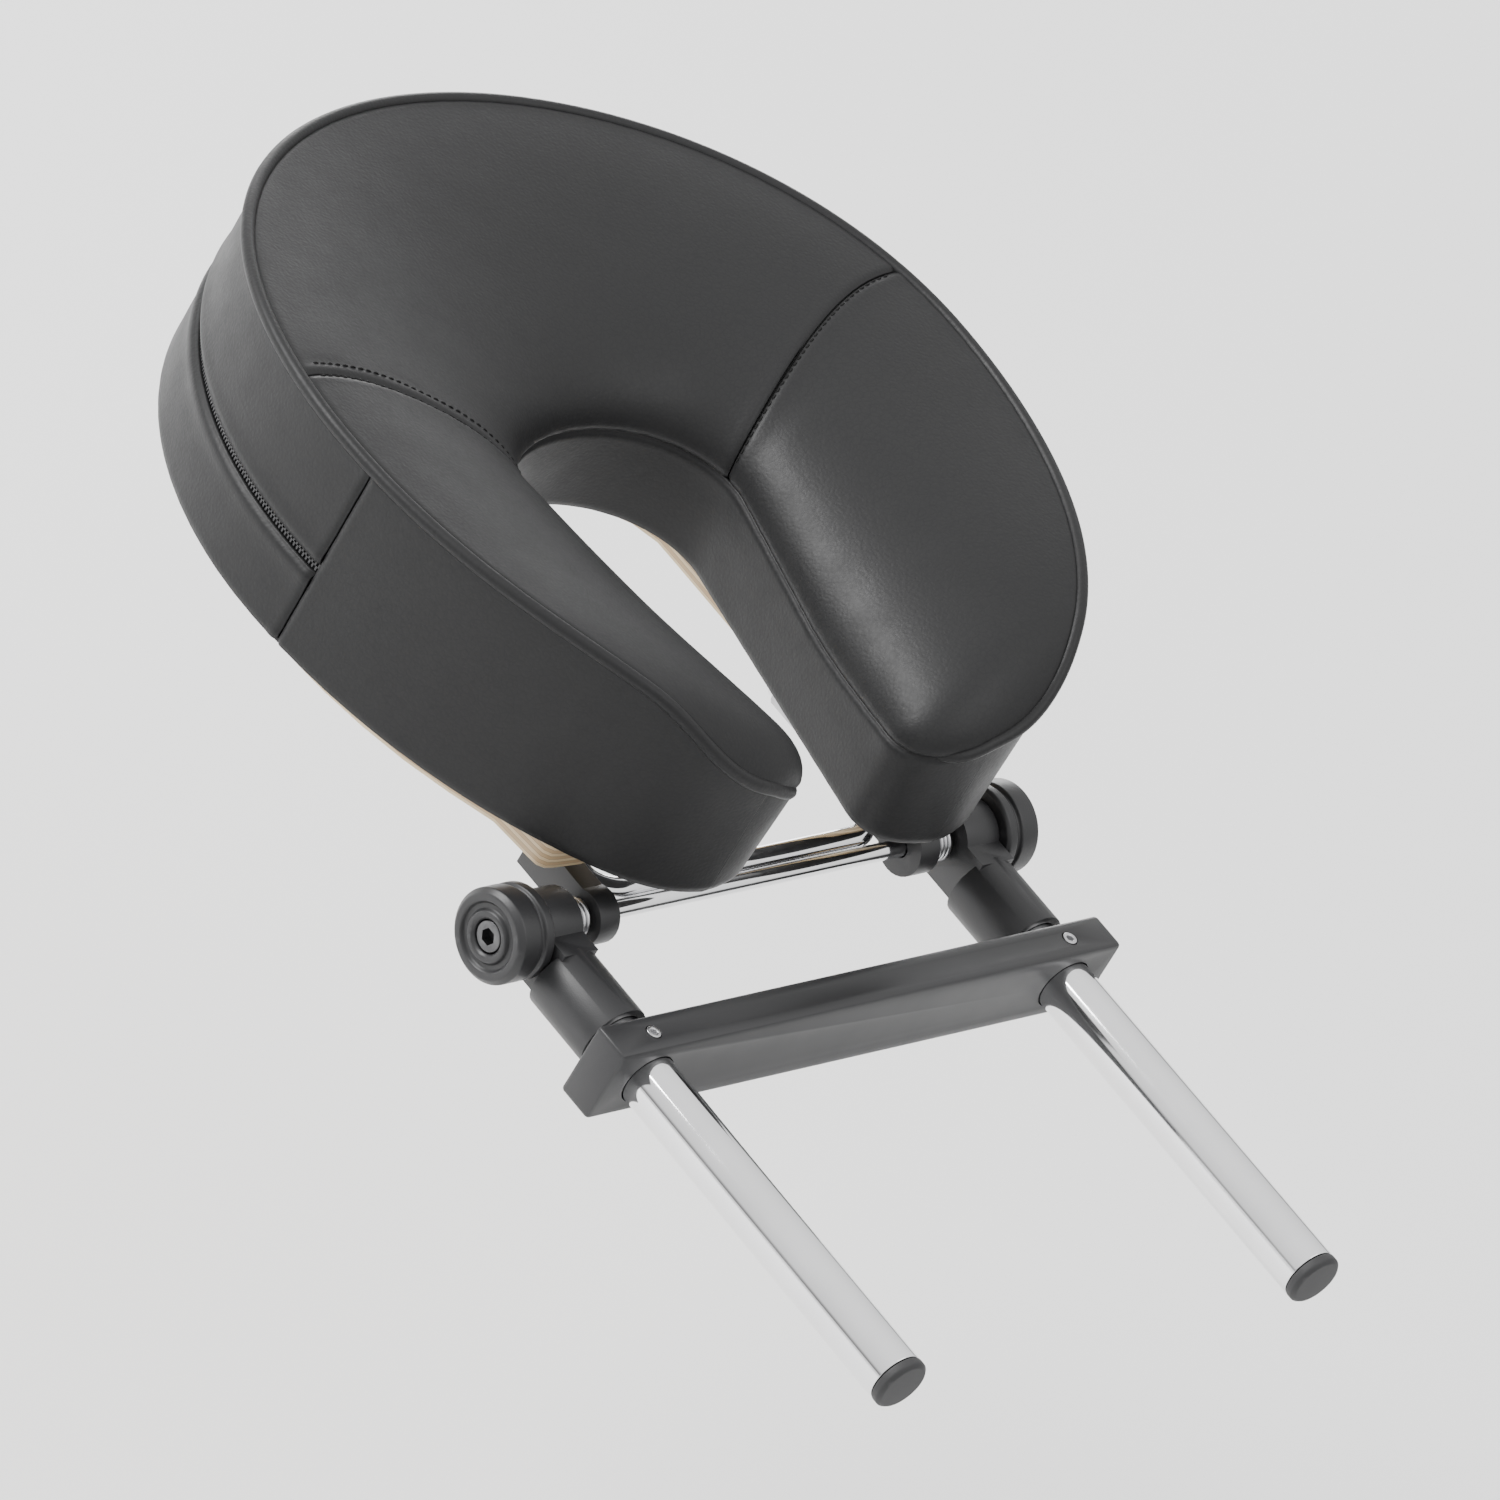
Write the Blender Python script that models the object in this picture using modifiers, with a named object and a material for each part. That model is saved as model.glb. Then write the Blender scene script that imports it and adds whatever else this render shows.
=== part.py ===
"""Face cradle: a horseshoe face cushion on a tilting platform, with the posts that plug into a massage table.

The frame: +X across the cradle, +Y away from the table, +Z up from the platform to the cushion's face side. The
origin is the centre of the stop bar's flat back, which butts against the table's end. Metres throughout.
"""

from math import asin, atan, cos, pi, radians, sin

import bmesh
import bpy
from mathutils import Matrix, Vector

# Driving dimensions of the horseshoe, measured from the centre of its crown circle.
CROWN_CENTRE_Y = 0.187
CROWN_RADIUS = 0.1386
ARM_REACH = 0.164
OPENING_HALF_WIDTH = 0.0484
OPENING_HALF_DEPTH = 0.0356
OPENING_SETBACK = 0.0161
OPENING_TAPER = 0.200
TIP_REACH = 0.1431
TIP_X = 0.0519
TIP_OUTER_START = 0.1291
TIP_INNER_START = 0.1271
TIP_INNER_X = 0.0267

# Heights above the cushion's underside.
OUTER_HEIGHT = 0.075
CROWN_DROP = 0.0096
ARM_TIP_FALL = 0.0213
TIP_HEIGHT = 0.0455
TIP_ROWS = 4
INNER_HEIGHT = 0.0457
INNER_FALL = 0.010
FALL_START = 0.022
FALL_LENGTH = 0.123
BULGE = 0.0020
DISH_SLOPE = 0.75  # steepest fall of the face into the opening
BULGE_WIDTH = 0.060

# Layers, from the hinge axis up.
GAP = 0.0003
BOARD_BOTTOM = 0.0125
BOARD_THICKNESS = 0.009
BOARD_TOP = BOARD_BOTTOM + BOARD_THICKNESS
TAPE_THICKNESS = 0.0012
HOOK_BOTTOM = BOARD_TOP + GAP
LOOP_BOTTOM = HOOK_BOTTOM + TAPE_THICKNESS + GAP
CUSHION_BOTTOM = LOOP_BOTTOM + TAPE_THICKNESS + GAP
COVER_THICKNESS = 0.0012
COVER_INSET = 0.0018
COMFORT_THICKNESS = 0.012
WELT_RADIUS = 0.0018
WELT_PROUD = 0.0006
WELT_DROP = 0.0004
WELT_CLEARANCE = 0.0026

# Seams, zip and the two tapes.
SEAM_OUTER_ANGLE = radians(11.2)
SEAM_INNER_ANGLE = radians(6.0)
SEAM_GAP = 0.0004
ZIP_HEIGHT = 0.031
ZIP_WIDTH = 0.006
SLIDER_SIZE = (0.0030, 0.0090, 0.0066)
SLIDER_ANGLE = radians(-1.0)
SLIDER_CLEARANCE = 0.0004
LUG_SIZE = (0.0036, 0.0022, 0.0008)
PULL_PIN_RADIUS = 0.0005
PULL_EYE_RADIUS = 0.0014
PULL_EYE_BORE = 0.0008
PULL_HEIGHT = 0.0040
PULL_LENGTH = 0.015
PULL_THICKNESS = 0.0012
TAPE_WIDTH = 0.022

# Platform board: a horseshoe with straight legs and a U-shaped opening, from the same centre as the cushion.
BOARD_INSET = 0.0165
BOARD_SIDE_X = 0.0945
BOARD_SIDE_BEND = 0.010
BOARD_OPENING_HALF_WIDTH = 0.0595
BOARD_OPENING_DEPTH = 0.032
BOARD_OPENING_Y = 0.003
BOARD_END = 0.1137
BOARD_CORNER = 0.006
BOARD_END_CROWN = 0.0008

# Hinge, carrier and posts. A (from, to, radius) triple is a round piece along X.
AXLE_Y = 0.062
ROD_RADIUS = 0.004
TIE_RADIUS = 0.003
TIE_HALF_LENGTH = 0.1120
RUNNING_CLEARANCE = 0.0003
ROD_BESIDE_TIE = 0.0075
ROD_CORNER_RADIUS = 0.012
LEG_X = 0.0650
LEG_RISE_Y = 0.096
LEG_END_Y = 0.130
COLLAR = (0.0693, 0.0783, 0.0095)
COLLAR_ARM_END_Y = 0.092
COLLAR_ARM_Z = (-0.005, 0.0085)
SPRING = (0.0790, 0.0880, 0.0060)
SPRING_WIRE_RADIUS = 0.0009
SPRING_TURNS = 4
HUB = (0.0885, 0.1035, 0.0118)
KNOB = (0.1042, 0.1200, 0.0155)
KNOB_BORE = 0.0034
KNOB_RECESS_RADIUS = 0.0056
KNOB_RECESS_DEPTH = 0.0075
BOLT = (0.1128, 0.1190, 0.0052)
HEX_SOCKET_RADIUS = 0.0029
HEX_SOCKET_DEPTH = 0.0035
POST_X = 0.096
POST_Z = -0.006
POST_RADIUS = 0.0095
POST_WALL = 0.0015
POST_BACK_Y = -0.130
POST_FRONT_Y = 0.0440
SOCKET_RADIUS = 0.0122
SOCKET_Y = (0.0180, 0.0458)
HUB_WEB_Z = (-0.0130, 0.0060)
POST_CAP_THICKNESS = 0.004
POST_CAP_PLUG = 0.012
STOP_BAR_SIZE = (0.230, 0.0140, 0.0280)
GRUB_RADIUS = 0.0025
GRUB_LENGTH = 0.0044

# Half saddle clips that hold the carrier's legs under the board, one to a leg, each with one ear.
CLIP_Y = 0.112
CLIP_WIDTH = 0.028
CLIP_THICKNESS = 0.0010
CLIP_EAR_X = 0.0190
SCREW_X = 0.0125
SCREW_Y = 0.0080
SCREW_HEAD_RADIUS = 0.0038
SCREW_HEAD_HEIGHT = 0.0022
SCREW_SHANK_RADIUS = 0.0016
SCREW_LENGTH = 0.0080
SCREW_HOLE_CLEARANCE = 0.0003

# How finely the horseshoe and the round pieces are cut up.
CROWN_ROWS = 9
ARM_ROWS = 15
ROWS = CROWN_ROWS + ARM_ROWS
ZIP_END_ROW = CROWN_ROWS + 3
INNER_BOXING_END_ROW = ROWS - 2
COLUMNS = 6
BOARD_SIDE_ROWS = 18
BOARD_CORNER_ROWS = 3
BOARD_ROWS = BOARD_SIDE_ROWS + BOARD_CORNER_ROWS + 1
ROUND_SIDES = 28

SIDES = {"left": -1, "right": 1}


def clear_scene():
    for obj in list(bpy.data.objects):
        bpy.data.objects.remove(obj, do_unlink=True)


def new_collection(name):
    collection = bpy.data.collections.new(name)
    bpy.context.scene.collection.children.link(collection)
    return collection


def material(name, colour, roughness, metallic=0.0):
    made = bpy.data.materials.new(name)
    made.use_nodes = True
    shader = made.node_tree.nodes["Principled BSDF"]
    shader.inputs["Base Color"].default_value = (*colour, 1.0)
    shader.inputs["Roughness"].default_value = roughness
    shader.inputs["Metallic"].default_value = metallic
    return made


def make_materials():
    return {
        "cover": material("cover", (0.055, 0.055, 0.057), 0.55),
        "zip": material("zip", (0.015, 0.015, 0.016), 0.6),
        "foam": material("foam", (0.78, 0.74, 0.62), 0.9),
        "comfort": material("comfort", (0.62, 0.70, 0.74), 0.9),
        "tape": material("tape", (0.02, 0.02, 0.02), 0.95),
        "plywood": material("plywood", (0.80, 0.62, 0.38), 0.5),
        "chrome": material("chrome", (0.75, 0.75, 0.76), 0.12, 1.0),
        "steel": material("steel", (0.45, 0.45, 0.46), 0.35, 1.0),
        "plastic": material("plastic", (0.035, 0.035, 0.037), 0.4),
    }


def add_object(name, mesh, collection, finish, smooth_angle=None):
    obj = bpy.data.objects.new(name, mesh)
    collection.objects.link(obj)
    if finish is not None:
        mesh.materials.append(finish)
    if smooth_angle is not None:
        mesh.shade_smooth()
        mesh.set_sharp_from_angle(angle=smooth_angle)
    return obj


# The horseshoe's outline.


def arc(centre, radii, start, end, count):
    """Points on an ellipse from one angle to another, both included."""
    angles = [start + (end - start) * k / count for k in range(count + 1)]
    return [Vector((centre[0] + radii[0] * cos(a), centre[1] + radii[1] * sin(a))) for a in angles]


def bend(start, corner, end, count):
    """Points on a quadratic curve that leaves start for corner and arrives at end."""
    points = []
    for k in range(1, count + 1):
        t = k / count
        points.append((1 - t) ** 2 * start + 2 * t * (1 - t) * corner + t**2 * end)
    return points


def even_points(points, count):
    """count + 1 points at equal distances along a line of points."""
    reach = [0.0]
    for a, b in zip(points, points[1:]):
        reach.append(reach[-1] + (b - a).length)
    even = []
    k = 0
    for step in range(count + 1):
        wanted = reach[-1] * step / count
        while k < len(points) - 2 and reach[k + 1] < wanted:
            k += 1
        share = (wanted - reach[k]) / (reach[k + 1] - reach[k])
        even.append(points[k].lerp(points[k + 1], min(share, 1.0)))
    return even


def outer_edge():
    """The right half of the outer edge, from the crown's top to the arm's tip."""
    radii = (CROWN_RADIUS, CROWN_RADIUS)
    crown = arc((0, 0), radii, pi / 2, SEAM_OUTER_ANGLE, 60)
    arm = arc((0, 0), radii, SEAM_OUTER_ANGLE, 0, 16)
    leave = asin(TIP_OUTER_START / ARM_REACH)
    arm += arc((0, 0), (CROWN_RADIUS, ARM_REACH), 0, -leave, 60)[1:]
    slope = Vector((-CROWN_RADIUS * sin(leave), -ARM_REACH * cos(leave)))
    corner = arm[-1] + slope * (TIP_REACH - TIP_OUTER_START) / -slope.y
    arm += bend(arm[-1], corner, Vector((TIP_X, -TIP_REACH)), 20)
    return even_points(crown, CROWN_ROWS), even_points(arm, ARM_ROWS)


def inner_edge():
    """The right half of the opening's edge, from the crown to the arm's tip."""
    centre = (0, -OPENING_SETBACK)
    radii = (OPENING_HALF_WIDTH, OPENING_HALF_DEPTH)
    turn = -atan(OPENING_TAPER * OPENING_HALF_DEPTH / OPENING_HALF_WIDTH)
    crown = arc(centre, radii, pi / 2, SEAM_INNER_ANGLE, 60)
    arm = arc(centre, radii, SEAM_INNER_ANGLE, turn, 20)
    arm.append(Vector((TIP_INNER_X, -TIP_INNER_START)))
    corner = Vector((TIP_INNER_X, -TIP_REACH))
    arm += bend(arm[-1], corner, Vector((TIP_X, -TIP_REACH)), 20)
    return even_points(crown, CROWN_ROWS), even_points(arm, ARM_ROWS)


def mirrored(points):
    """Right-half points, by row from 0, as a dictionary of rows from -ROWS to ROWS."""
    rows = {}
    for row, point in enumerate(points):
        rows[row] = point.copy()
        rows[-row] = Vector((-point.x, point.y))
    return rows


def edges():
    """The outer and inner edge, each a dictionary of row to point. They meet at the two tips."""
    outer_crown, outer_arm = outer_edge()
    inner_crown, inner_arm = inner_edge()
    return mirrored(outer_crown[:-1] + outer_arm), mirrored(inner_crown[:-1] + inner_arm)


OUTER, INNER = edges()


def across(row, inner):
    """The unit vector in the plane that points into the cushion from an edge point."""
    edge = INNER if inner else OUTER
    other = OUTER if inner else INNER
    before = edge[row - 1] if row > -ROWS else other[row + 1]
    after = edge[row + 1] if row < ROWS else other[row - 1]
    along = (after - before).normalized()
    return Vector((-along.y, along.x)) if inner else Vector((along.y, -along.x))


def edge_point(row, inner=False, inset=0.0):
    edge = INNER if inner else OUTER
    point = edge[row] + across(row, inner) * inset
    return Vector((point.x, point.y + CROWN_CENTRE_Y))


def board_edges():
    """The board's outer and inner edge by row, which meet at the middle of each leg's end."""
    side = []
    for row in range(ROWS):
        point = OUTER[row] + across(row, inner=False) * BOARD_INSET
        if point.y < 0 and point.x < BOARD_SIDE_X:
            break
        side.append(point)
    side.append(Vector((BOARD_SIDE_X, side[-1].y - BOARD_SIDE_BEND)))
    radii = (BOARD_OPENING_HALF_WIDTH, BOARD_OPENING_DEPTH)
    opening = arc((0, BOARD_OPENING_Y), radii, pi / 2, 0, 40)
    middle_x = (BOARD_SIDE_X + BOARD_OPENING_HALF_WIDTH) / 2
    middle = Vector((middle_x, -BOARD_END - BOARD_END_CROWN))
    finished = []
    for points, x, towards in (
        (side, BOARD_SIDE_X, -1),
        (opening, BOARD_OPENING_HALF_WIDTH, 1),
    ):
        before = Vector((x, BOARD_CORNER - BOARD_END))
        after = Vector((x + towards * BOARD_CORNER, -BOARD_END))
        line = even_points(points + [before], BOARD_SIDE_ROWS)
        line += bend(before, Vector((x, -BOARD_END)), after, BOARD_CORNER_ROWS)
        finished.append(mirrored(line + [middle]))
    return finished


BOARD_OUTER, BOARD_INNER = board_edges()


def edge_height(row, inner):
    """The top edge's height above the cushion's underside."""
    point = (INNER if inner else OUTER)[row]
    fall = min(max((-FALL_START - point.y) / FALL_LENGTH, 0.0), 1.0)
    if inner:
        height = INNER_HEIGHT - INNER_FALL * fall
    else:
        crown = max(point.y / CROWN_RADIUS, 0.0)
        height = OUTER_HEIGHT - ARM_TIP_FALL * fall**6 - CROWN_DROP * crown**2
    near_tip = max(1 - (ROWS - abs(row)) / TIP_ROWS, 0.0)
    return height + (TIP_HEIGHT - height) * near_tip**2


def top_height(row, share):
    """The top face's height above the underside, share of the way from the outer edge to the inner."""
    low = edge_height(row, inner=True)
    high = edge_height(row, inner=False)
    width = (OUTER[row] - INNER[row]).length
    bulge = BULGE * min(width / BULGE_WIDTH, 1.0) * 4 * share * (1 - share)
    drop = max(high - low, 1e-6)
    # The face stays level from the outer edge, then slopes down evenly into the opening.
    level = min((1 - share) * max(width * DISH_SLOPE / drop, 1.0), 1.0)
    return low + (high - low) * level + bulge


def inside_point(row, share, inset):
    """A point of the horseshoe, set in from its edges, for a whole or a fractional row."""
    lower = int(row // 1)
    upper = min(lower + 1, ROWS)
    ends = []
    for whole in (lower, upper):
        outer = edge_point(whole, inner=False, inset=inset)
        inner = edge_point(whole, inner=True, inset=inset)
        ends.append(outer.lerp(inner, share))
    return ends[0].lerp(ends[1], row - lower)


def inside_height(row, share):
    lower = int(row // 1)
    upper = min(lower + 1, ROWS)
    part = row - lower
    return top_height(lower, share) * (1 - part) + top_height(upper, share) * part


# Solids made from a warped grid.


def thick_grid(name, collection, finish, columns, rows, front, back, smooth_angle=None):
    """A closed solid between two warped grids: front(i, k) and back(i, k) give the points."""
    bm = bmesh.new()
    bmesh.ops.create_grid(bm, x_segments=columns, y_segments=rows, size=1.0)
    far_side = bm.verts.layers.float_vector.new("far_side")
    for vert in bm.verts:
        i = round((vert.co.x + 1) / 2 * columns)
        k = round((vert.co.y + 1) / 2 * rows)
        vert.co = front(i, k)
        vert[far_side] = back(i, k)
    bmesh.ops.remove_doubles(bm, verts=bm.verts, dist=1e-6)
    bmesh.ops.triangulate(bm, faces=bm.faces, quad_method="FIXED")
    grown = bmesh.ops.extrude_face_region(bm, geom=bm.faces[:])
    for item in grown["geom"]:
        if isinstance(item, bmesh.types.BMVert):
            item.co = item[far_side]
    bmesh.ops.recalc_face_normals(bm, faces=bm.faces)
    bm.verts.layers.float_vector.remove(bm.verts.layers.float_vector["far_side"])
    mesh = bpy.data.meshes.new(name)
    bm.to_mesh(mesh)
    bm.free()
    return add_object(name, mesh, collection, finish, smooth_angle)


def filling(name, collection, finish, low, drop):
    """A horseshoe layer of the cushion, from low(row, share) up to drop below the cover's face."""

    def top(i, k):
        row, share = i - ROWS, k / COLUMNS
        height = CUSHION_BOTTOM + top_height(row, share) - drop
        return (*inside_point(row, share, COVER_INSET), height)

    def bottom(i, k):
        row, share = i - ROWS, k / COLUMNS
        return (*inside_point(row, share, COVER_INSET), low(row, share))

    return thick_grid(name, collection, finish, 2 * ROWS, COLUMNS, top, bottom, radians(40))


def make_foams(parts, finishes):
    under_cover = COVER_THICKNESS + GAP
    joint = under_cover + COMFORT_THICKNESS
    floor = CUSHION_BOTTOM + COVER_THICKNESS + GAP
    filling("foam_core", parts, finishes["foam"], lambda row, share: floor, joint + GAP)

    def comfort_floor(row, share):
        return CUSHION_BOTTOM + top_height(row, share) - joint

    filling("comfort_layer", parts, finishes["comfort"], comfort_floor, under_cover)


def top_panel(name, parts, finish, first, last):
    """A cover panel over the rows from first to last, which may be fractions of a row."""
    count = round(last - first)

    def spot(i, k):
        row = first + (last - first) * i / count
        whole = round(row)
        row = row if i in (0, count) else whole
        return row, k / COLUMNS

    def face(i, k):
        row, share = spot(i, k)
        return (*inside_point(row, share, COVER_INSET), CUSHION_BOTTOM + inside_height(row, share))

    def lining(i, k):
        x, y, z = face(i, k)
        return (x, y, z - COVER_THICKNESS)

    thick_grid(name, parts, finish, count, COLUMNS, face, lining, radians(40))


def make_top_panels(parts, finishes):
    row_length = (OUTER[CROWN_ROWS] - OUTER[CROWN_ROWS - 1]).length
    nudge = SEAM_GAP / row_length
    top_panel("crown_panel", parts, finishes["cover"], nudge - CROWN_ROWS, CROWN_ROWS - nudge)
    top_panel("left_arm_panel", parts, finishes["cover"], -ROWS, -CROWN_ROWS - nudge)
    top_panel("right_arm_panel", parts, finishes["cover"], CROWN_ROWS + nudge, ROWS)


def make_base_panel(parts, finishes):
    def face(i, k):
        return (*inside_point(i - ROWS, k, COVER_INSET), CUSHION_BOTTOM + COVER_THICKNESS)

    def underside(i, k):
        x, y, z = face(i, k)
        return (x, y, CUSHION_BOTTOM)

    thick_grid("base_panel", parts, finishes["cover"], 2 * ROWS, 1, face, underside)


def boxing(name, parts, finish, stations, low, high):
    """A side strip that stands on the outline. stations are (row, inner) pairs along it."""
    count = len(stations) - 1

    def spot(i, k, inset):
        row, inner = stations[i]
        # The strip's two ends are drawn back a little, so that neighbours meet with a seam's gap.
        at = edge_point(row, inner, inset)
        if i in (0, count):
            beside_row, beside_inner = stations[1 if i == 0 else count - 1]
            beside = edge_point(beside_row, beside_inner, inset)
            at = at + (beside - at).normalized() * SEAM_GAP
        height = high(row, inner) if k else low(row, inner)
        return (at.x, at.y, height)

    def outside(i, k):
        return spot(i, k, 0.0)

    def inside(i, k):
        return spot(i, k, COVER_THICKNESS)

    thick_grid(name, parts, finish, count, 1, outside, inside, radians(40))


def under_welt(row, inner):
    return CUSHION_BOTTOM + edge_height(row, inner) - WELT_CLEARANCE


def make_boxings(parts, finishes):
    def floor(row, inner):
        return CUSHION_BOTTOM

    def zip_low(row, inner):
        return CUSHION_BOTTOM + ZIP_HEIGHT - ZIP_WIDTH / 2

    def zip_high(row, inner):
        return CUSHION_BOTTOM + ZIP_HEIGHT + ZIP_WIDTH / 2

    crown = [(row, False) for row in range(-ZIP_END_ROW, ZIP_END_ROW + 1)]
    cover = finishes["cover"]
    boxing("lower_boxing", parts, cover, crown, floor, lambda r, e: zip_low(r, e) - GAP)
    boxing("zip_chain", parts, finishes["zip"], crown, zip_low, zip_high)
    boxing("upper_boxing", parts, cover, crown, lambda r, e: zip_high(r, e) + GAP, under_welt)
    for side, sign in SIDES.items():
        arm = [(sign * row, False) for row in range(ZIP_END_ROW, ROWS + 1)]
        arm += [(sign * row, True) for row in range(ROWS - 1, INNER_BOXING_END_ROW - 1, -1)]
        boxing(f"{side}_boxing", parts, cover, arm, floor, under_welt)
    reach = INNER_BOXING_END_ROW
    opening = [(row, True) for row in range(-reach, reach + 1)]
    boxing("inner_boxing", parts, cover, opening, floor, under_welt)


def tube(name, collection, finish, points, radius, resolution, cyclic=False):
    """A round bar along a line of points."""
    curve = bpy.data.curves.new(name, "CURVE")
    curve.dimensions = "3D"
    curve.bevel_depth = radius
    curve.bevel_resolution = resolution
    curve.use_fill_caps = not cyclic
    spline = curve.splines.new("POLY")
    spline.points.add(len(points) - 1)
    for slot, point in zip(spline.points, points):
        slot.co = (*point, 1.0)
    spline.use_cyclic_u = cyclic
    spline.use_smooth = True
    obj = bpy.data.objects.new(name, curve)
    collection.objects.link(obj)
    curve.materials.append(finish)
    return obj


def make_welt(parts, finishes):
    ring = [(row, False) for row in range(-ROWS, ROWS + 1)]
    ring += [(row, True) for row in range(ROWS - 1, -ROWS, -1)]
    points = []
    for row, inner in ring:
        at = edge_point(row, inner, -WELT_PROUD)
        height = CUSHION_BOTTOM + edge_height(row, inner) - WELT_DROP
        points.append((at.x, at.y, height))
    tube("welt", parts, finishes["cover"], points, WELT_RADIUS, 2, cyclic=True)


def tape_strip(name, parts, finish, first, last, low):
    """A strip of even width along the middle of the board, over its rows from first to last."""
    count = last - first

    def at(i, k, height):
        outer, inner = BOARD_OUTER[first + i], BOARD_INNER[first + i]
        share = 0.5 + TAPE_WIDTH / (outer - inner).length * (k - 0.5)
        point = outer.lerp(inner, share)
        return (point.x, point.y + CROWN_CENTRE_Y, height)

    def top(i, k):
        return at(i, k, low + TAPE_THICKNESS)

    def bottom(i, k):
        return at(i, k, low)

    thick_grid(name, parts, finish, count, 1, top, bottom)


def make_tapes(parts, finishes):
    last = BOARD_SIDE_ROWS - 2
    middle = BOARD_SIDE_ROWS // 2
    spans = {
        "left": (-last, -middle),
        "crown": (2 - middle, middle - 2),
        "right": (middle, last),
    }
    for place, (first, last) in spans.items():
        tape_strip(f"hook_strip_{place}", parts, finishes["tape"], first, last, HOOK_BOTTOM)
        tape_strip(f"loop_strip_{place}", parts, finishes["tape"], first, last, LOOP_BOTTOM)


# Plain shapes and booleans.


def box(name, collection, finish, low, high, bevel=0.0):
    bm = bmesh.new()
    bmesh.ops.create_cube(bm, size=1.0)
    size = Vector(high) - Vector(low)
    centre = (Vector(high) + Vector(low)) / 2
    bmesh.ops.scale(bm, vec=size, verts=bm.verts)
    mesh = bpy.data.meshes.new(name)
    bm.to_mesh(mesh)
    bm.free()
    obj = add_object(name, mesh, collection, finish)
    obj.location = centre
    if bevel:
        modifier = obj.modifiers.new("rounded", "BEVEL")
        modifier.width = bevel
        modifier.segments = 2
    return obj


def aimed(direction):
    """The rotation that turns +Z to a direction along X, Y or Z."""
    return Vector(direction).to_track_quat("Z", "Y").to_euler()


def rod(name, collection, finish, start, end, radius, sides=ROUND_SIDES):
    """A solid cylinder from start to end."""
    start, end = Vector(start), Vector(end)
    bm = bmesh.new()
    length = (end - start).length
    bmesh.ops.create_cone(
        bm, cap_ends=True, segments=sides, radius1=radius, radius2=radius, depth=length
    )
    mesh = bpy.data.meshes.new(name)
    bm.to_mesh(mesh)
    bm.free()
    obj = add_object(name, mesh, collection, finish, radians(40))
    obj.location = (start + end) / 2
    obj.rotation_euler = aimed(end - start)
    return obj


def helper(obj):
    obj.hide_render = True
    obj.display_type = "WIRE"
    return obj


def combine(obj, other, operation):
    modifier = obj.modifiers.new(f"{operation.lower()} {other.name}", "BOOLEAN")
    modifier.operation = operation
    modifier.object = helper(other)


def turned(name, collection, finish, profile, sides=ROUND_SIDES):
    """A solid of revolution about its own Z from (radius, height) points, outer side top to bottom."""
    bm = bmesh.new()
    verts = [bm.verts.new((radius, 0.0, height)) for radius, height in profile]
    closed = profile[0][0] > 0 and profile[-1][0] > 0
    pairs = zip(verts, verts[1:] + verts[:1] if closed else verts[1:])
    for a, b in pairs:
        bm.edges.new((a, b))
    mesh = bpy.data.meshes.new(name)
    bm.to_mesh(mesh)
    bm.free()
    obj = add_object(name, mesh, collection, finish)
    spin = obj.modifiers.new("turned", "SCREW")
    spin.steps = sides
    spin.render_steps = sides
    spin.use_merge_vertices = True
    spin.merge_threshold = 0.00005
    spin.use_smooth_shade = True
    return obj


# Platform, carrier and clips.


def screw_places():
    """(name, x, y) of each clip screw."""
    places = []
    for side, sign in SIDES.items():
        for number, shift in ((1, -SCREW_Y), (2, SCREW_Y)):
            places.append((f"{side}_{number}", sign * (LEG_X + SCREW_X), CLIP_Y + shift))
    return places


def make_board(parts, cutters, finishes):
    def top(i, k):
        point = (BOARD_INNER if k else BOARD_OUTER)[i - BOARD_ROWS]
        return (point.x, point.y + CROWN_CENTRE_Y, BOARD_TOP)

    def bottom(i, k):
        x, y, z = top(i, k)
        return (x, y, BOARD_BOTTOM)

    name = "platform_board"
    board = thick_grid(name, parts, finishes["plywood"], 2 * BOARD_ROWS, 1, top, bottom)
    depth = SCREW_LENGTH - CLIP_THICKNESS
    for label, x, y in screw_places():
        start = (x, y, BOARD_BOTTOM - 0.001)
        end = (x, y, BOARD_BOTTOM + depth)
        hole = f"board_hole_{label}"
        radius = SCREW_SHANK_RADIUS + SCREW_HOLE_CLEARANCE
        combine(board, rod(hole, cutters, None, start, end, radius, 12), "DIFFERENCE")


def carrier_points():
    """The carrier's centre line: leg, rise, corner, cross part, and the same back."""
    leg_z = BOARD_BOTTOM - GAP - ROD_RADIUS
    cross_y = AXLE_Y + ROD_BESIDE_TIE
    corner_x = LEG_X - ROD_CORNER_RADIUS
    right = []
    for k in range(7):
        angle = pi / 2 * k / 6
        x = corner_x + ROD_CORNER_RADIUS * sin(angle)
        y = cross_y + ROD_CORNER_RADIUS * (1 - cos(angle))
        right.append((x, y))
    ramp = cross_y + ROD_CORNER_RADIUS / 3
    points = []
    for x, y in right:
        share = min(max((y - ramp) / (LEG_RISE_Y - ramp), 0.0), 1.0)
        points.append((x, y, leg_z * share * share * (3 - 2 * share)))
    last = points[-1][1]
    for k in range(1, 6):
        y = last + (LEG_RISE_Y - last) * k / 5
        share = (y - ramp) / (LEG_RISE_Y - ramp)
        points.append((LEG_X, y, leg_z * share * share * (3 - 2 * share)))
    points.append((LEG_X, LEG_END_Y, leg_z))
    return [(-x, y, z) for x, y, z in reversed(points)] + points


def make_carrier(parts, finishes):
    tube("carrier_rod", parts, finishes["chrome"], carrier_points(), ROD_RADIUS, 3)


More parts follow.
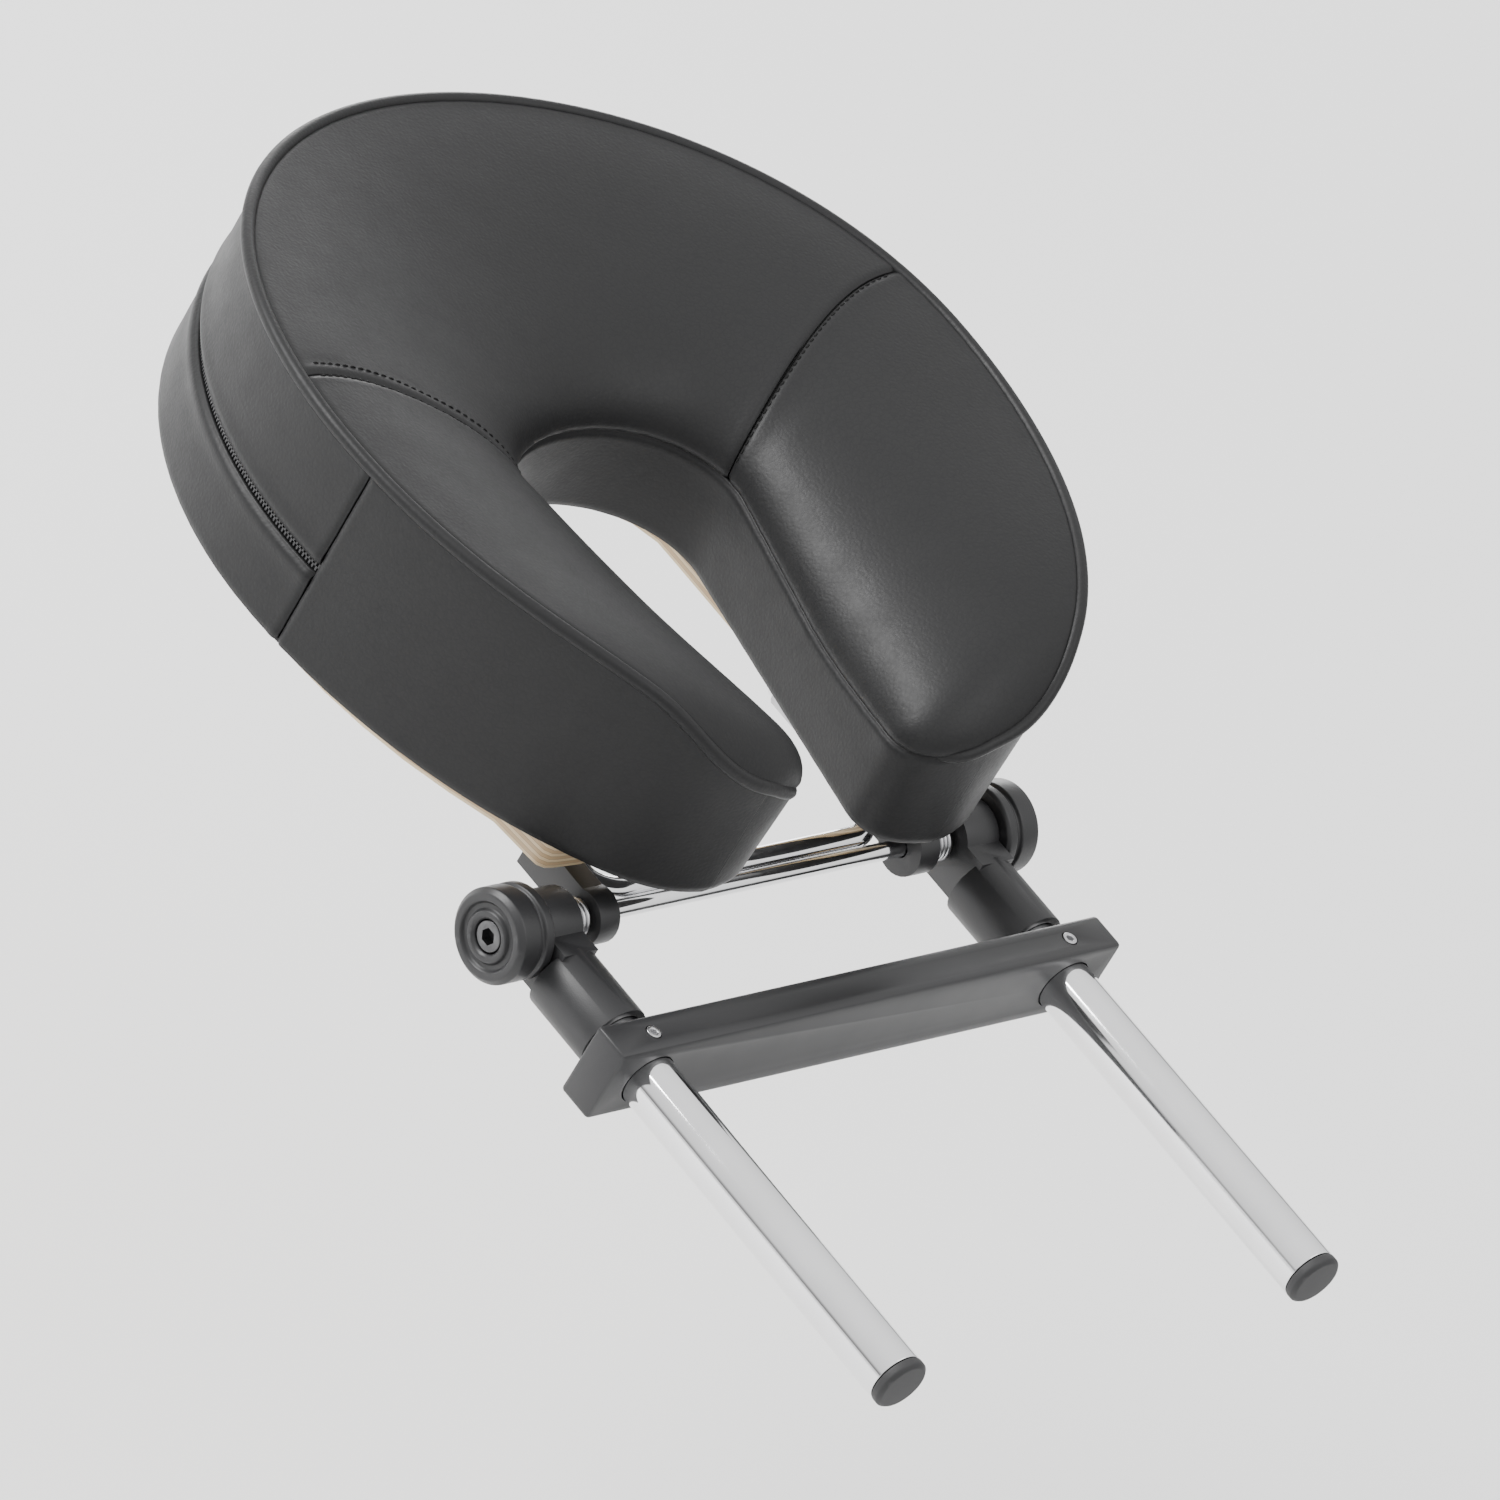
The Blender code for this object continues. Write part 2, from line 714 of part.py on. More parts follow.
def clip_profile():
    """(x, z, outward normal) along a clip's inner face, from its lip round the rod to its ear, about the rod's centre."""
    bend_radius = ROD_RADIUS + GAP
    ear_z = ROD_RADIUS - CLIP_THICKNESS
    reach = bend_radius + CLIP_THICKNESS
    profile = [(-bend_radius, ROD_RADIUS, (-1, 0))]
    for k in range(9):
        angle = pi + pi * k / 8
        out = (cos(angle), sin(angle))
        profile.append((bend_radius * out[0], bend_radius * out[1], out))
    profile += [(reach + 0.0006, ear_z, (0, -1)), (CLIP_EAR_X, ear_z, (0, -1))]
    return profile


def make_clips(parts, cutters, finishes):
    profile = clip_profile()
    rod_z = BOARD_BOTTOM - GAP - ROD_RADIUS
    clips = {}
    for side, sign in SIDES.items():

        def inner(i, k, sign=sign):
            x, z, out = profile[i]
            return (sign * (LEG_X + x), CLIP_Y + CLIP_WIDTH * (k - 0.5), rod_z + z)

        def outer(i, k, sign=sign):
            x, z, out = profile[i]
            return Vector(inner(i, k, sign)) + Vector((sign * out[0], 0, out[1])) * CLIP_THICKNESS

        name = f"saddle_clip_{side}"
        count = len(profile) - 1
        clips[side] = thick_grid(name, parts, finishes["steel"], count, 1, inner, outer, radians(40))
    for label, x, y in screw_places():
        ends = ((x, y, rod_z - 0.004), (x, y, BOARD_BOTTOM + 0.001))
        radius = SCREW_SHANK_RADIUS + SCREW_HOLE_CLEARANCE
        hole = rod(f"clip_hole_{label}", cutters, None, *ends, radius, 12)
        combine(clips[label.split("_")[0]], hole, "DIFFERENCE")


def make_clip_screws(parts, finishes):
    ear_underside = BOARD_BOTTOM - GAP - 2 * CLIP_THICKNESS
    head_top = ear_underside - GAP
    tip = SCREW_LENGTH - CLIP_THICKNESS
    for label, x, y in screw_places():
        profile = [
            (0.0, tip),
            (SCREW_SHANK_RADIUS, tip - 0.0012),
            (SCREW_SHANK_RADIUS, 0.0),
            (SCREW_HEAD_RADIUS, 0.0),
            (SCREW_HEAD_RADIUS * 0.75, -SCREW_HEAD_HEIGHT),
            (0.0, -SCREW_HEAD_HEIGHT),
        ]
        screw = turned(f"clip_screw_{label}", parts, finishes["steel"], profile, 12)
        screw.location = (x, y, head_top)


# Hinge, clamp and posts.


def along_x(name, collection, finish, sign, size, sides=ROUND_SIDES):
    """A cylinder on the hinge axis, from a (from, to, radius) triple, on the side that sign says."""
    start, end, radius = size
    return rod(
        name, collection, finish, (sign * start, AXLE_Y, 0), (sign * end, AXLE_Y, 0), radius, sides
    )


def make_tie_rod(parts, finishes):
    size = (-TIE_HALF_LENGTH, TIE_HALF_LENGTH, TIE_RADIUS)
    along_x("tie_rod", parts, finishes["chrome"], 1, size, 20)


def make_collars(parts, cutters, finishes):
    bore = (COLLAR[0] - 0.01, COLLAR[1] + 0.01, TIE_RADIUS + RUNNING_CLEARANCE)
    for side, sign in SIDES.items():
        collar = along_x(f"hinge_collar_{side}", parts, finishes["plastic"], sign, COLLAR)
        xs = sorted((sign * COLLAR[0], sign * COLLAR[1]))
        low = (xs[0], AXLE_Y, COLLAR_ARM_Z[0])
        high = (xs[1], COLLAR_ARM_END_Y, COLLAR_ARM_Z[1])
        combine(collar, box(f"collar_arm_{side}", cutters, None, low, high), "UNION")
        combine(collar, along_x(f"collar_bore_{side}", cutters, None, sign, bore, 20), "DIFFERENCE")


def make_springs(parts, finishes):
    start, end, radius = SPRING
    steps = SPRING_TURNS * 12
    for side, sign in SIDES.items():
        points = []
        for k in range(steps + 1):
            share = k / steps
            angle = 2 * pi * SPRING_TURNS * share
            reach = end - start - 2 * SPRING_WIRE_RADIUS
            x = sign * (start + SPRING_WIRE_RADIUS + reach * share)
            points.append((x, AXLE_Y + radius * cos(angle), radius * sin(angle)))
        tube(f"hinge_spring_{side}", parts, finishes["steel"], points, SPRING_WIRE_RADIUS, 1)


def make_hubs(parts, cutters, finishes):
    bore = (HUB[0] - 0.01, HUB[1] + 0.01, TIE_RADIUS + RUNNING_CLEARANCE)
    for side, sign in SIDES.items():
        x = sign * POST_X
        hub = along_x(f"post_hub_{side}", parts, finishes["plastic"], sign, HUB)
        ends = ((x, SOCKET_Y[0], POST_Z), (x, SOCKET_Y[1], POST_Z))
        combine(hub, rod(f"socket_{side}", cutters, None, *ends, SOCKET_RADIUS), "UNION")
        xs = sorted((sign * HUB[0], sign * HUB[1]))
        low = (xs[0], SOCKET_Y[1] - 0.002, HUB_WEB_Z[0])
        high = (xs[1], AXLE_Y, HUB_WEB_Z[1])
        combine(hub, box(f"hub_web_{side}", cutters, None, low, high), "UNION")
        combine(hub, along_x(f"hub_bore_{side}", cutters, None, sign, bore, 20), "DIFFERENCE")
        ends = ((x, SOCKET_Y[0] - 0.01, POST_Z), (x, POST_FRONT_Y + GAP, POST_Z))
        radius = POST_RADIUS + RUNNING_CLEARANCE
        combine(hub, rod(f"post_bore_{side}", cutters, None, *ends, radius), "DIFFERENCE")


def make_knobs(parts, cutters, finishes):
    start, end, radius = KNOB
    length = end - start
    floor = length - KNOB_RECESS_DEPTH
    profile = [
        (KNOB_RECESS_RADIUS, length - 0.0010),
        (KNOB_RECESS_RADIUS + 0.0010, length),
        (KNOB_RECESS_RADIUS + 0.0026, length),
        (KNOB_RECESS_RADIUS + 0.0034, length - 0.0016),
        (KNOB_RECESS_RADIUS + 0.0050, length - 0.0016),
        (KNOB_RECESS_RADIUS + 0.0058, length - 0.0002),
        (radius - 0.0018, length - 0.0002),
        (radius, length - 0.0020),
        (radius, length * 0.42),
        (radius - 0.0012, length * 0.38),
        (radius - 0.0012, length * 0.30),
        (radius, length * 0.26),
        (radius, 0.0010),
        (radius - 0.0010, 0.0),
        (KNOB_BORE, 0.0),
        (KNOB_BORE, floor),
        (KNOB_RECESS_RADIUS, floor),
    ]
    for side, sign in SIDES.items():
        knob = turned(f"clamp_knob_{side}", parts, finishes["plastic"], profile, 32)
        knob.location = (sign * start, AXLE_Y, 0)
        knob.rotation_euler = aimed((sign, 0, 0))
        bolt = along_x(f"knob_bolt_{side}", parts, finishes["steel"], sign, BOLT, 24)
        socket = (BOLT[1] - HEX_SOCKET_DEPTH, BOLT[1] + 0.002, HEX_SOCKET_RADIUS)
        combine(bolt, along_x(f"hex_{side}", cutters, None, sign, socket, 6), "DIFFERENCE")


def make_posts(parts, cutters, finishes):
    inner_radius = POST_RADIUS - POST_WALL
    for side, sign in SIDES.items():
        x = sign * POST_X
        ends = ((x, POST_BACK_Y, POST_Z), (x, POST_FRONT_Y, POST_Z))
        post = rod(f"post_{side}", parts, finishes["chrome"], *ends, POST_RADIUS)
        ends = ((x, POST_BACK_Y - 0.01, POST_Z), (x, POST_FRONT_Y + 0.01, POST_Z))
        bore = rod(f"post_inside_{side}", cutters, None, *ends, inner_radius)
        combine(post, bore, "DIFFERENCE")
        edge = 0.0012
        plug = inner_radius - GAP
        profile = [
            (0.0, POST_CAP_THICKNESS),
            (POST_RADIUS - edge, POST_CAP_THICKNESS),
            (POST_RADIUS, POST_CAP_THICKNESS - edge),
            (POST_RADIUS, GAP),
            (plug, GAP),
            (plug, -POST_CAP_PLUG),
            (0.0, -POST_CAP_PLUG),
        ]
        cap = turned(f"post_cap_{side}", parts, finishes["plastic"], profile)
        cap.location = (x, POST_BACK_Y, POST_Z)
        cap.rotation_euler = aimed((0, -1, 0))


def make_stop_bar(parts, cutters, finishes):
    width, depth, height = STOP_BAR_SIZE
    low = (-width / 2, 0, POST_Z - height / 2)
    high = (width / 2, depth, POST_Z + height / 2)
    bar = box("stop_bar", parts, finishes["plastic"], low, high, bevel=0.0015)
    for side, sign in SIDES.items():
        x = sign * POST_X
        ends = ((x, -0.01, POST_Z), (x, depth + 0.01, POST_Z))
        radius = POST_RADIUS + RUNNING_CLEARANCE
        combine(bar, rod(f"bar_hole_{side}", cutters, None, *ends, radius), "DIFFERENCE")
        bottom = POST_Z + POST_RADIUS + GAP
        top = POST_Z + height / 2
        ends = ((x, depth / 2, POST_Z), (x, depth / 2, top + 0.01))
        radius = GRUB_RADIUS + GAP
        combine(bar, rod(f"grub_hole_{side}", cutters, None, *ends, radius, 16), "DIFFERENCE")
        ends = ((x, depth / 2, bottom), (x, depth / 2, bottom + GRUB_LENGTH))
        grub = rod(f"grub_screw_{side}", parts, finishes["steel"], *ends, GRUB_RADIUS, 16)
        ends = ((x, depth / 2, ends[1][2] - 0.002), (x, depth / 2, ends[1][2] + 0.002))
        hexagon = rod(f"grub_hex_{side}", cutters, None, *ends, GRUB_RADIUS * 0.55, 6)
        combine(grub, hexagon, "DIFFERENCE")


# Zip slider and its pull, which stand on the crown's side wall.


def on_crown(angle, radius, height):
    """A frame on the crown's side: local X out of the wall, local Y along it, local Z up."""
    centre = Vector((0, CROWN_CENTRE_Y, CUSHION_BOTTOM + height))
    out = Vector((cos(angle), sin(angle), 0))
    return Matrix.Translation(centre + out * radius) @ Matrix.Rotation(angle, 4, "Z")


def make_zip_slider(parts, cutters, finishes):
    depth, length, height = SLIDER_SIZE
    face = CROWN_RADIUS + SLIDER_CLEARANCE
    place = on_crown(SLIDER_ANGLE, face, ZIP_HEIGHT)
    steel = finishes["steel"]
    low = (0, -length / 2, -height / 2)
    slider = box("zip_slider", parts, steel, low, (depth, length / 2, height / 2), 0.0008)
    pieces = [slider]
    lug_depth, lug_length, lug_height = LUG_SIZE
    start = depth - 0.0006
    for label, z in (("upper", height / 2 - lug_height), ("lower", -height / 2)):
        low = (start, -lug_length / 2, z)
        high = (start + lug_depth, lug_length / 2, z + lug_height)
        lug = box(f"slider_lug_{label}", cutters, None, low, high)
        combine(slider, lug, "UNION")
        pieces.append(lug)
    pin_x = start + lug_depth - PULL_PIN_RADIUS - 0.0004
    ends = ((pin_x, 0, -height / 2 + 0.0002), (pin_x, 0, height / 2 - 0.0002))
    pin = rod("slider_pin", cutters, None, *ends, PULL_PIN_RADIUS, 12)
    combine(slider, pin, "UNION")
    pieces.append(pin)

    ends = ((pin_x, 0, -PULL_HEIGHT / 2), (pin_x, 0, PULL_HEIGHT / 2))
    pull = rod("zip_pull", parts, steel, *ends, PULL_EYE_RADIUS, 16)
    low = (pin_x - PULL_THICKNESS / 2, PULL_EYE_RADIUS * 0.6, -PULL_HEIGHT / 2)
    high = (pin_x + PULL_THICKNESS / 2, PULL_LENGTH, PULL_HEIGHT / 2)
    tab = box("pull_tab", cutters, None, low, high)
    combine(pull, tab, "UNION")
    ends = ((pin_x, 0, -PULL_HEIGHT), (pin_x, 0, PULL_HEIGHT))
    eye = rod("pull_eye", cutters, None, *ends, PULL_EYE_BORE, 12)
    combine(pull, eye, "DIFFERENCE")
    pieces += [pull, tab, eye]
    for piece in pieces:
        piece.matrix_world = place @ Matrix.LocRotScale(piece.location, piece.rotation_euler, None)


def main():
    clear_scene()
    parts = new_collection("face_cradle")
    cutters = new_collection("cutters")
    finishes = make_materials()
    make_foams(parts, finishes)
    make_top_panels(parts, finishes)
    make_base_panel(parts, finishes)
    make_boxings(parts, finishes)
    make_welt(parts, finishes)
    make_tapes(parts, finishes)
    make_zip_slider(parts, cutters, finishes)
    make_board(parts, cutters, finishes)
    make_carrier(parts, finishes)
    make_clips(parts, cutters, finishes)
    make_clip_screws(parts, finishes)
    make_tie_rod(parts, finishes)
    make_collars(parts, cutters, finishes)
    make_springs(parts, finishes)
    make_hubs(parts, cutters, finishes)
    make_knobs(parts, cutters, finishes)
    make_posts(parts, cutters, finishes)
    make_stop_bar(parts, cutters, finishes)


main()
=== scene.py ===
from math import asin, atan, cos, pi, radians, sin

import bmesh
import bpy
import numpy as np
from mathutils import Matrix, Vector
from mathutils.bvhtree import BVHTree


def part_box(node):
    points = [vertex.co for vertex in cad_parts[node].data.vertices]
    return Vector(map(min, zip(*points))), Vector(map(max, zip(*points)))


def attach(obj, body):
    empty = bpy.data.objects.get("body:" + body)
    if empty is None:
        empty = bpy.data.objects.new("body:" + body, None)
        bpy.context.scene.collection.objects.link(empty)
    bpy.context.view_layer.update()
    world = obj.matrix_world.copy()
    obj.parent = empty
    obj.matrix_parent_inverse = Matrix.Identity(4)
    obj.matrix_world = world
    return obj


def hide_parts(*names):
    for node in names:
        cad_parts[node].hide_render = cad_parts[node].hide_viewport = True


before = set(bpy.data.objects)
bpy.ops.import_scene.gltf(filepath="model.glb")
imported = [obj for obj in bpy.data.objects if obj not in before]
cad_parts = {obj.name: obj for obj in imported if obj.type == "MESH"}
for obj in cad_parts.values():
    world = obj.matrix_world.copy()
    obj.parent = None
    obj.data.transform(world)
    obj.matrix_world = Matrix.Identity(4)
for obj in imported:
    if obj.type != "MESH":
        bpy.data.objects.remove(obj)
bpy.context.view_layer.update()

SCENE = bpy.context.scene

# ---------------------------------------------------------------- dimensions, in metres, as in the CAD
CROWN_CENTRE = np.array([0.0, 0.187])
CROWN_RADIUS = 0.1386
ARM_REACH = 0.164
OPENING_HALF_WIDTH, OPENING_HALF_DEPTH, OPENING_SETBACK, OPENING_TAPER = 0.0484, 0.0356, 0.0161, 0.200
TIP_REACH, TIP_X, TIP_OUTER_START, TIP_INNER_START, TIP_INNER_X = 0.1431, 0.0519, 0.1291, 0.1271, 0.0267
SEAM_OUTER_ANGLE, SEAM_INNER_ANGLE = radians(11.2), radians(6.0)
OUTER_HEIGHT, CROWN_DROP, ARM_TIP_FALL, TIP_HEIGHT, TIP_ROWS = 0.075, 0.0096, 0.0213, 0.0455, 4
INNER_HEIGHT, INNER_FALL, FALL_START, FALL_LENGTH = 0.0457, 0.010, 0.022, 0.123
SEAM_ROW, ROWS = 9, 24
ZIP_END_ROW = 12
BOARD_BOTTOM, BOARD_TOP, FLOOR_OF_CUSHION = 0.0125, 0.0215, 0.0248
PLIES = 7
ZIP_HEIGHT = 0.031
ZIP_Z = FLOOR_OF_CUSHION + ZIP_HEIGHT
AXLE_Y = 0.062
POST_X, POST_END_Y, POST_Z = 0.096, -0.130, -0.006
KNOB_X, BOLT_X, TIE_ROD_END = 0.1042, 0.1128, 0.112

# the soft shape
UNDERSIDE_INSET = (0.0010, 0.0020)     # how far the side wall leans in at its foot, at the crown and at the arms
SEAM_BOW = 0.5                         # how far, in rows, the panel seams bow towards the crown
INNER_SEAM_DROP = 0.011                # how far the top panel rolls down over the opening's edge
ROLL_RISE = 0.015
ROLL_OUT = 0.0022
WALL_SWELL, TOP_SWELL = 0.0030, 0.0034


# ---------------------------------------------------------------- the horseshoe's outline
def arc(centre, radii, start, end, count):
    t = np.linspace(start, end, count + 1)
    return np.stack([centre[0] + radii[0] * np.cos(t), centre[1] + radii[1] * np.sin(t)], -1)


def bend(start, corner, end, count):
    t = np.linspace(0, 1, count + 1)[1:, None]
    return (1 - t) ** 2 * start + 2 * t * (1 - t) * corner + t**2 * end


def run_length(points):
    """How far along a line of points each of them lies."""
    return np.r_[0, np.cumsum(np.linalg.norm(np.diff(points, axis=0), axis=1))]


def along_line(at, places, values):
    """Points between those in values, which lie at the given places."""
    return np.stack([np.interp(at, places, values[:, k]) for k in range(3)], -1)


def by_row(crown, arm):
    """A function from row to point: rows are evenly spaced along each of the two lines."""
    tables = []
    for points, first, last in ((crown, 0, SEAM_ROW), (arm, SEAM_ROW, ROWS)):
        reach = run_length(points)
        tables.append((first + (last - first) * reach / reach[-1], points))
    rows = np.r_[tables[0][0], tables[1][0][1:]]
    points = np.r_[tables[0][1], tables[1][1][1:]]

    def at(row):
        row = np.asarray(row, float)
        side = np.where(row < 0, -1.0, 1.0)
        return np.stack([side * np.interp(abs(row), rows, points[:, k]) if k == 0
                         else np.interp(abs(row), rows, points[:, k]) for k in (0, 1)], -1)

    return at


def outline():
    leave = asin(TIP_OUTER_START / ARM_REACH)
    circle = (CROWN_RADIUS, CROWN_RADIUS)
    outer_crown = arc((0, 0), circle, pi / 2, SEAM_OUTER_ANGLE, 200)
    arm = np.r_[arc((0, 0), circle, SEAM_OUTER_ANGLE, 0, 40),
                arc((0, 0), (CROWN_RADIUS, ARM_REACH), 0, -leave, 200)[1:]]
    slope = np.array([-CROWN_RADIUS * sin(leave), -ARM_REACH * cos(leave)])
    corner = arm[-1] + slope * (TIP_REACH - TIP_OUTER_START) / -slope[1]
    tip = np.array([TIP_X, -TIP_REACH])
    outer_arm = np.r_[arm, bend(arm[-1], corner, tip, 60)]
    centre, radii = (0, -OPENING_SETBACK), (OPENING_HALF_WIDTH, OPENING_HALF_DEPTH)
    turn = -atan(OPENING_TAPER * OPENING_HALF_DEPTH / OPENING_HALF_WIDTH)
    inner_crown = arc(centre, radii, pi / 2, SEAM_INNER_ANGLE, 120)
    arm = arc(centre, radii, SEAM_INNER_ANGLE, turn, 60)
    arm = np.r_[arm, [[TIP_INNER_X, -TIP_INNER_START]]]
    inner_arm = np.r_[arm, bend(arm[-1], np.array([TIP_INNER_X, -TIP_REACH]), tip, 60)]
    return by_row(outer_crown, outer_arm), by_row(inner_crown, inner_arm)


outer_at, inner_at = outline()


def smooth(t):
    t = np.clip(t, 0, 1)
    return t * t * (3 - 2 * t)


def near_tip(row, rows=TIP_ROWS):
    return np.maximum(1 - (ROWS - abs(np.asarray(row, float))) / rows, 0.0)


def heights(row):
    """(outer edge, inner edge, inner seam) above the cushion's underside."""
    outer, inner = outer_at(row), inner_at(row)
    crown = np.maximum(outer[..., 1] / CROWN_RADIUS, 0)
    fall = np.clip((-FALL_START - outer[..., 1]) / FALL_LENGTH, 0, 1)
    high = OUTER_HEIGHT - ARM_TIP_FALL * fall**6 - CROWN_DROP * crown**2
    high = high + (TIP_HEIGHT - high) * near_tip(row) ** 2
    fall = np.clip((-FALL_START - inner[..., 1]) / FALL_LENGTH, 0, 1)
    low = INNER_HEIGHT - INNER_FALL * fall
    low = low + (TIP_HEIGHT - low) * near_tip(row) ** 2
    seam = low - INNER_SEAM_DROP * (1 - smooth(near_tip(row, 9)))
    return high, low, seam


def outward(row, inner=False):
    """The unit vector that points out of the horseshoe at an edge point."""
    step = 0.02
    at = inner_at if inner else outer_at
    row = np.clip(row, -ROWS + step, ROWS - step)
    along = at(row + step) - at(row - step)
    along /= np.linalg.norm(along, axis=-1, keepdims=True) + 1e-12
    side = 1.0 if inner else -1.0
    return np.stack([side * along[..., 1], -side * along[..., 0]], -1)


# ---------------------------------------------------------------- the cushion's skin as one sewn bag
WALL, TOP, BASE = 12, 18, 8
RING = WALL + TOP + WALL + BASE
COLUMNS_PER_ROW = 3
COLUMNS = 2 * ROWS * COLUMNS_PER_ROW + 1
J_EDGE, J_SEAM, J_FOOT = WALL, WALL + TOP, WALL + TOP + WALL


def section(row):
    """One ring of the bag before it swells: up the outer wall, over the top, down the opening, under the base."""
    outer, inner = outer_at(row), inner_at(row)
    out, into = outward(row), outward(row, inner=True)
    high, low, seam = heights(row)
    at_crown, at_arms = UNDERSIDE_INSET
    lean = at_crown + (at_arms - at_crown) * smooth((0.03 - outer[1]) / 0.12)
    lean = lean * (1 - near_tip(row))
    width = np.linalg.norm(outer - inner)
    share = min(width / 0.06, 1.0)
    points = []
    for k in range(WALL):
        t = k / WALL
        points.append((*(outer - out * lean * (1 - t)), high * t))
    control = np.array([
        [*outer, high],
        [*(outer + (inner - outer) * 0.40), high - 0.0015 * share],
        [*(inner + into * ROLL_OUT * share), low + ROLL_RISE * share],
        [*(inner + into * ROLL_OUT * 0.4 * share), seam],
    ])
    for k in range(TOP):
        t = k / TOP
        weights = np.array([(1 - t) ** 3, 3 * t * (1 - t) ** 2, 3 * t * t * (1 - t), t**3])
        points.append(tuple(weights @ control))
    start = control[3]
    foot = np.array([*(inner - into * 0.0012 * share), 0.0])
    for k in range(WALL):
        points.append(tuple(start + (foot - start) * k / WALL))
    under = np.array([*(outer - out * lean), 0.0])
    for k in range(BASE):
        points.append(tuple(foot + (under - foot) * k / BASE))
    points = np.array(points)
    points[:, 1] += CROWN_CENTRE[1]
    points[:, 2] += FLOOR_OF_CUSHION
    return points


def bag_grid():
    rows = np.linspace(-ROWS, ROWS, COLUMNS)
    return np.array([section(row) for row in rows])


def closed_mesh(name, grid):
    """One closed mesh over a grid of rings, with the points that coincide at the two tips made one."""
    flat = grid.reshape(-1, 3)
    rounded = np.round(flat / 1e-6).astype(np.int64)
    _, first, index = np.unique(rounded, axis=0, return_index=True, return_inverse=True)
    index = index.reshape(grid.shape[:2])
    faces = []
    for i in range(grid.shape[0] - 1):
        for j in range(RING):
            k = (j + 1) % RING
            corners = [index[i, j], index[i + 1, j], index[i + 1, k], index[i, k]]
            kept = [c for n, c in enumerate(corners) if c != corners[n - 1]]
            if len(set(kept)) > 2:
                faces.append([int(c) for c in dict.fromkeys(kept)])
    mesh = bpy.data.meshes.new(name)
    mesh.from_pydata([tuple(p) for p in flat[first]], [], faces)
    mesh.update()
    return mesh, index


def swollen(grid):
    """The bag after its stuffing has pushed it out between the seams, from a cloth simulation."""
    mesh, index = closed_mesh("bag", grid)
    obj = bpy.data.objects.new("bag", mesh)
    SCENE.collection.objects.link(obj)
    bm = bmesh.new()
    bm.from_mesh(mesh)
    bmesh.ops.recalc_face_normals(bm, faces=bm.faces)
    bm.to_mesh(mesh)
    bm.free()
    start = np.array([v.co for v in mesh.vertices])
    held = np.zeros(len(start))
    for j in [0, J_EDGE, J_SEAM, J_FOOT, *range(J_FOOT, RING)]:
        held[index[:, j]] = 1.0
    for i in (0, 1, COLUMNS - 2, COLUMNS - 1):
        held[index[i]] = 1.0
    rows = np.linspace(-ROWS, ROWS, COLUMNS)
    for j in range(J_EDGE, J_SEAM + 1):
        row = seam_row((j - J_EDGE) / TOP)
        for i in np.flatnonzero(np.minimum(abs(rows - row), abs(rows + row)) < 0.6 / COLUMNS_PER_ROW):
            held[index[i, j]] = max(held[index[i, j]], 0.6)
    group = obj.vertex_groups.new(name="held")
    for weight in np.unique(held[held > 0]):
        group.add([int(v) for v in np.flatnonzero(held == weight)], float(weight), "REPLACE")
    cloth = obj.modifiers.new("cloth", "CLOTH")
    settings = cloth.settings
    settings.vertex_group_mass = "held"
    settings.use_pressure = True
    settings.uniform_pressure_force = 4.0
    settings.effector_weights.gravity = 0.0
    settings.quality = 4
    cloth.collision_settings.use_collision = False
    cloth.point_cache.frame_start = 1
    cloth.point_cache.frame_end = 20
    for number in range(1, 21):
        SCENE.frame_set(number)
    moved = obj.evaluated_get(bpy.context.evaluated_depsgraph_get()).to_mesh()
    end = np.array([v.co for v in moved.vertices])
    SCENE.frame_set(1)
    bpy.data.objects.remove(obj)
    return (end - start)[index]


def seam_row(share):
    return SEAM_ROW - SEAM_BOW * 4 * share * (1 - share) * (1.25 - 0.5 * share)


def cushion_grid():
    """The bag's rings, swollen by the simulation, with the swelling held to what firm foam gives."""
    grid = bag_grid()
    j = np.arange(RING)
    limit = np.where((j > J_EDGE) & (j < J_SEAM), TOP_SWELL, WALL_SWELL)
    rows = np.linspace(-ROWS, ROWS, COLUMNS)
    push = swollen(grid)
    for _ in range(6):
        push[1:-1] = 0.25 * push[:-2] + 0.5 * push[1:-1] + 0.25 * push[2:]
    size = np.linalg.norm(push, axis=-1, keepdims=True)
    most = limit[None, :, None]
    push = push * most * np.tanh(size / most) / (size + 1e-9)
    push *= (1 - near_tip(rows, 3))[:, None, None]
    return grid + push


GRID = cushion_grid()


def catmull(a, b, c, d, t):
    return 0.5 * (2 * b + (c - a) * t + (2 * a - 5 * b + 4 * c - d) * t**2 + (3 * b - a - 3 * c + d) * t**3)


def skin(row, j, low, high):
    """Points of the swollen skin at rows and ring places, smooth within the panel from ring place low to high."""
    row, j = np.broadcast_arrays(np.asarray(row, float), np.asarray(j, float))
    u = np.clip((row + ROWS) * COLUMNS_PER_ROW, 0, COLUMNS - 1)
    i = np.minimum(u.astype(int), COLUMNS - 2)
    n = np.minimum(np.maximum(np.floor(j).astype(int), low), high - 1)
    fu, fj = (u - i)[..., None], (j - n)[..., None]
    line = []
    for di in (-1, 0, 1, 2):
        column = np.clip(i + di, 0, COLUMNS - 1)
        four = [GRID[column, np.clip(n + dj, low, high) % RING] for dj in (-1, 0, 1, 2)]
        first, last = n == low, n == high - 1
        four[0] = np.where(first[..., None], 2 * four[1] - four[2], four[0])
        four[3] = np.where(last[..., None], 2 * four[2] - four[1], four[3])
        line.append(catmull(*four, fj))
    return catmull(*line, fu)


def grid_normals(points):
    a, b = np.gradient(points, axis=0), np.gradient(points, axis=1)
    normal = np.cross(b, a)
    return normal / (np.linalg.norm(normal, axis=-1, keepdims=True) + 1e-15)


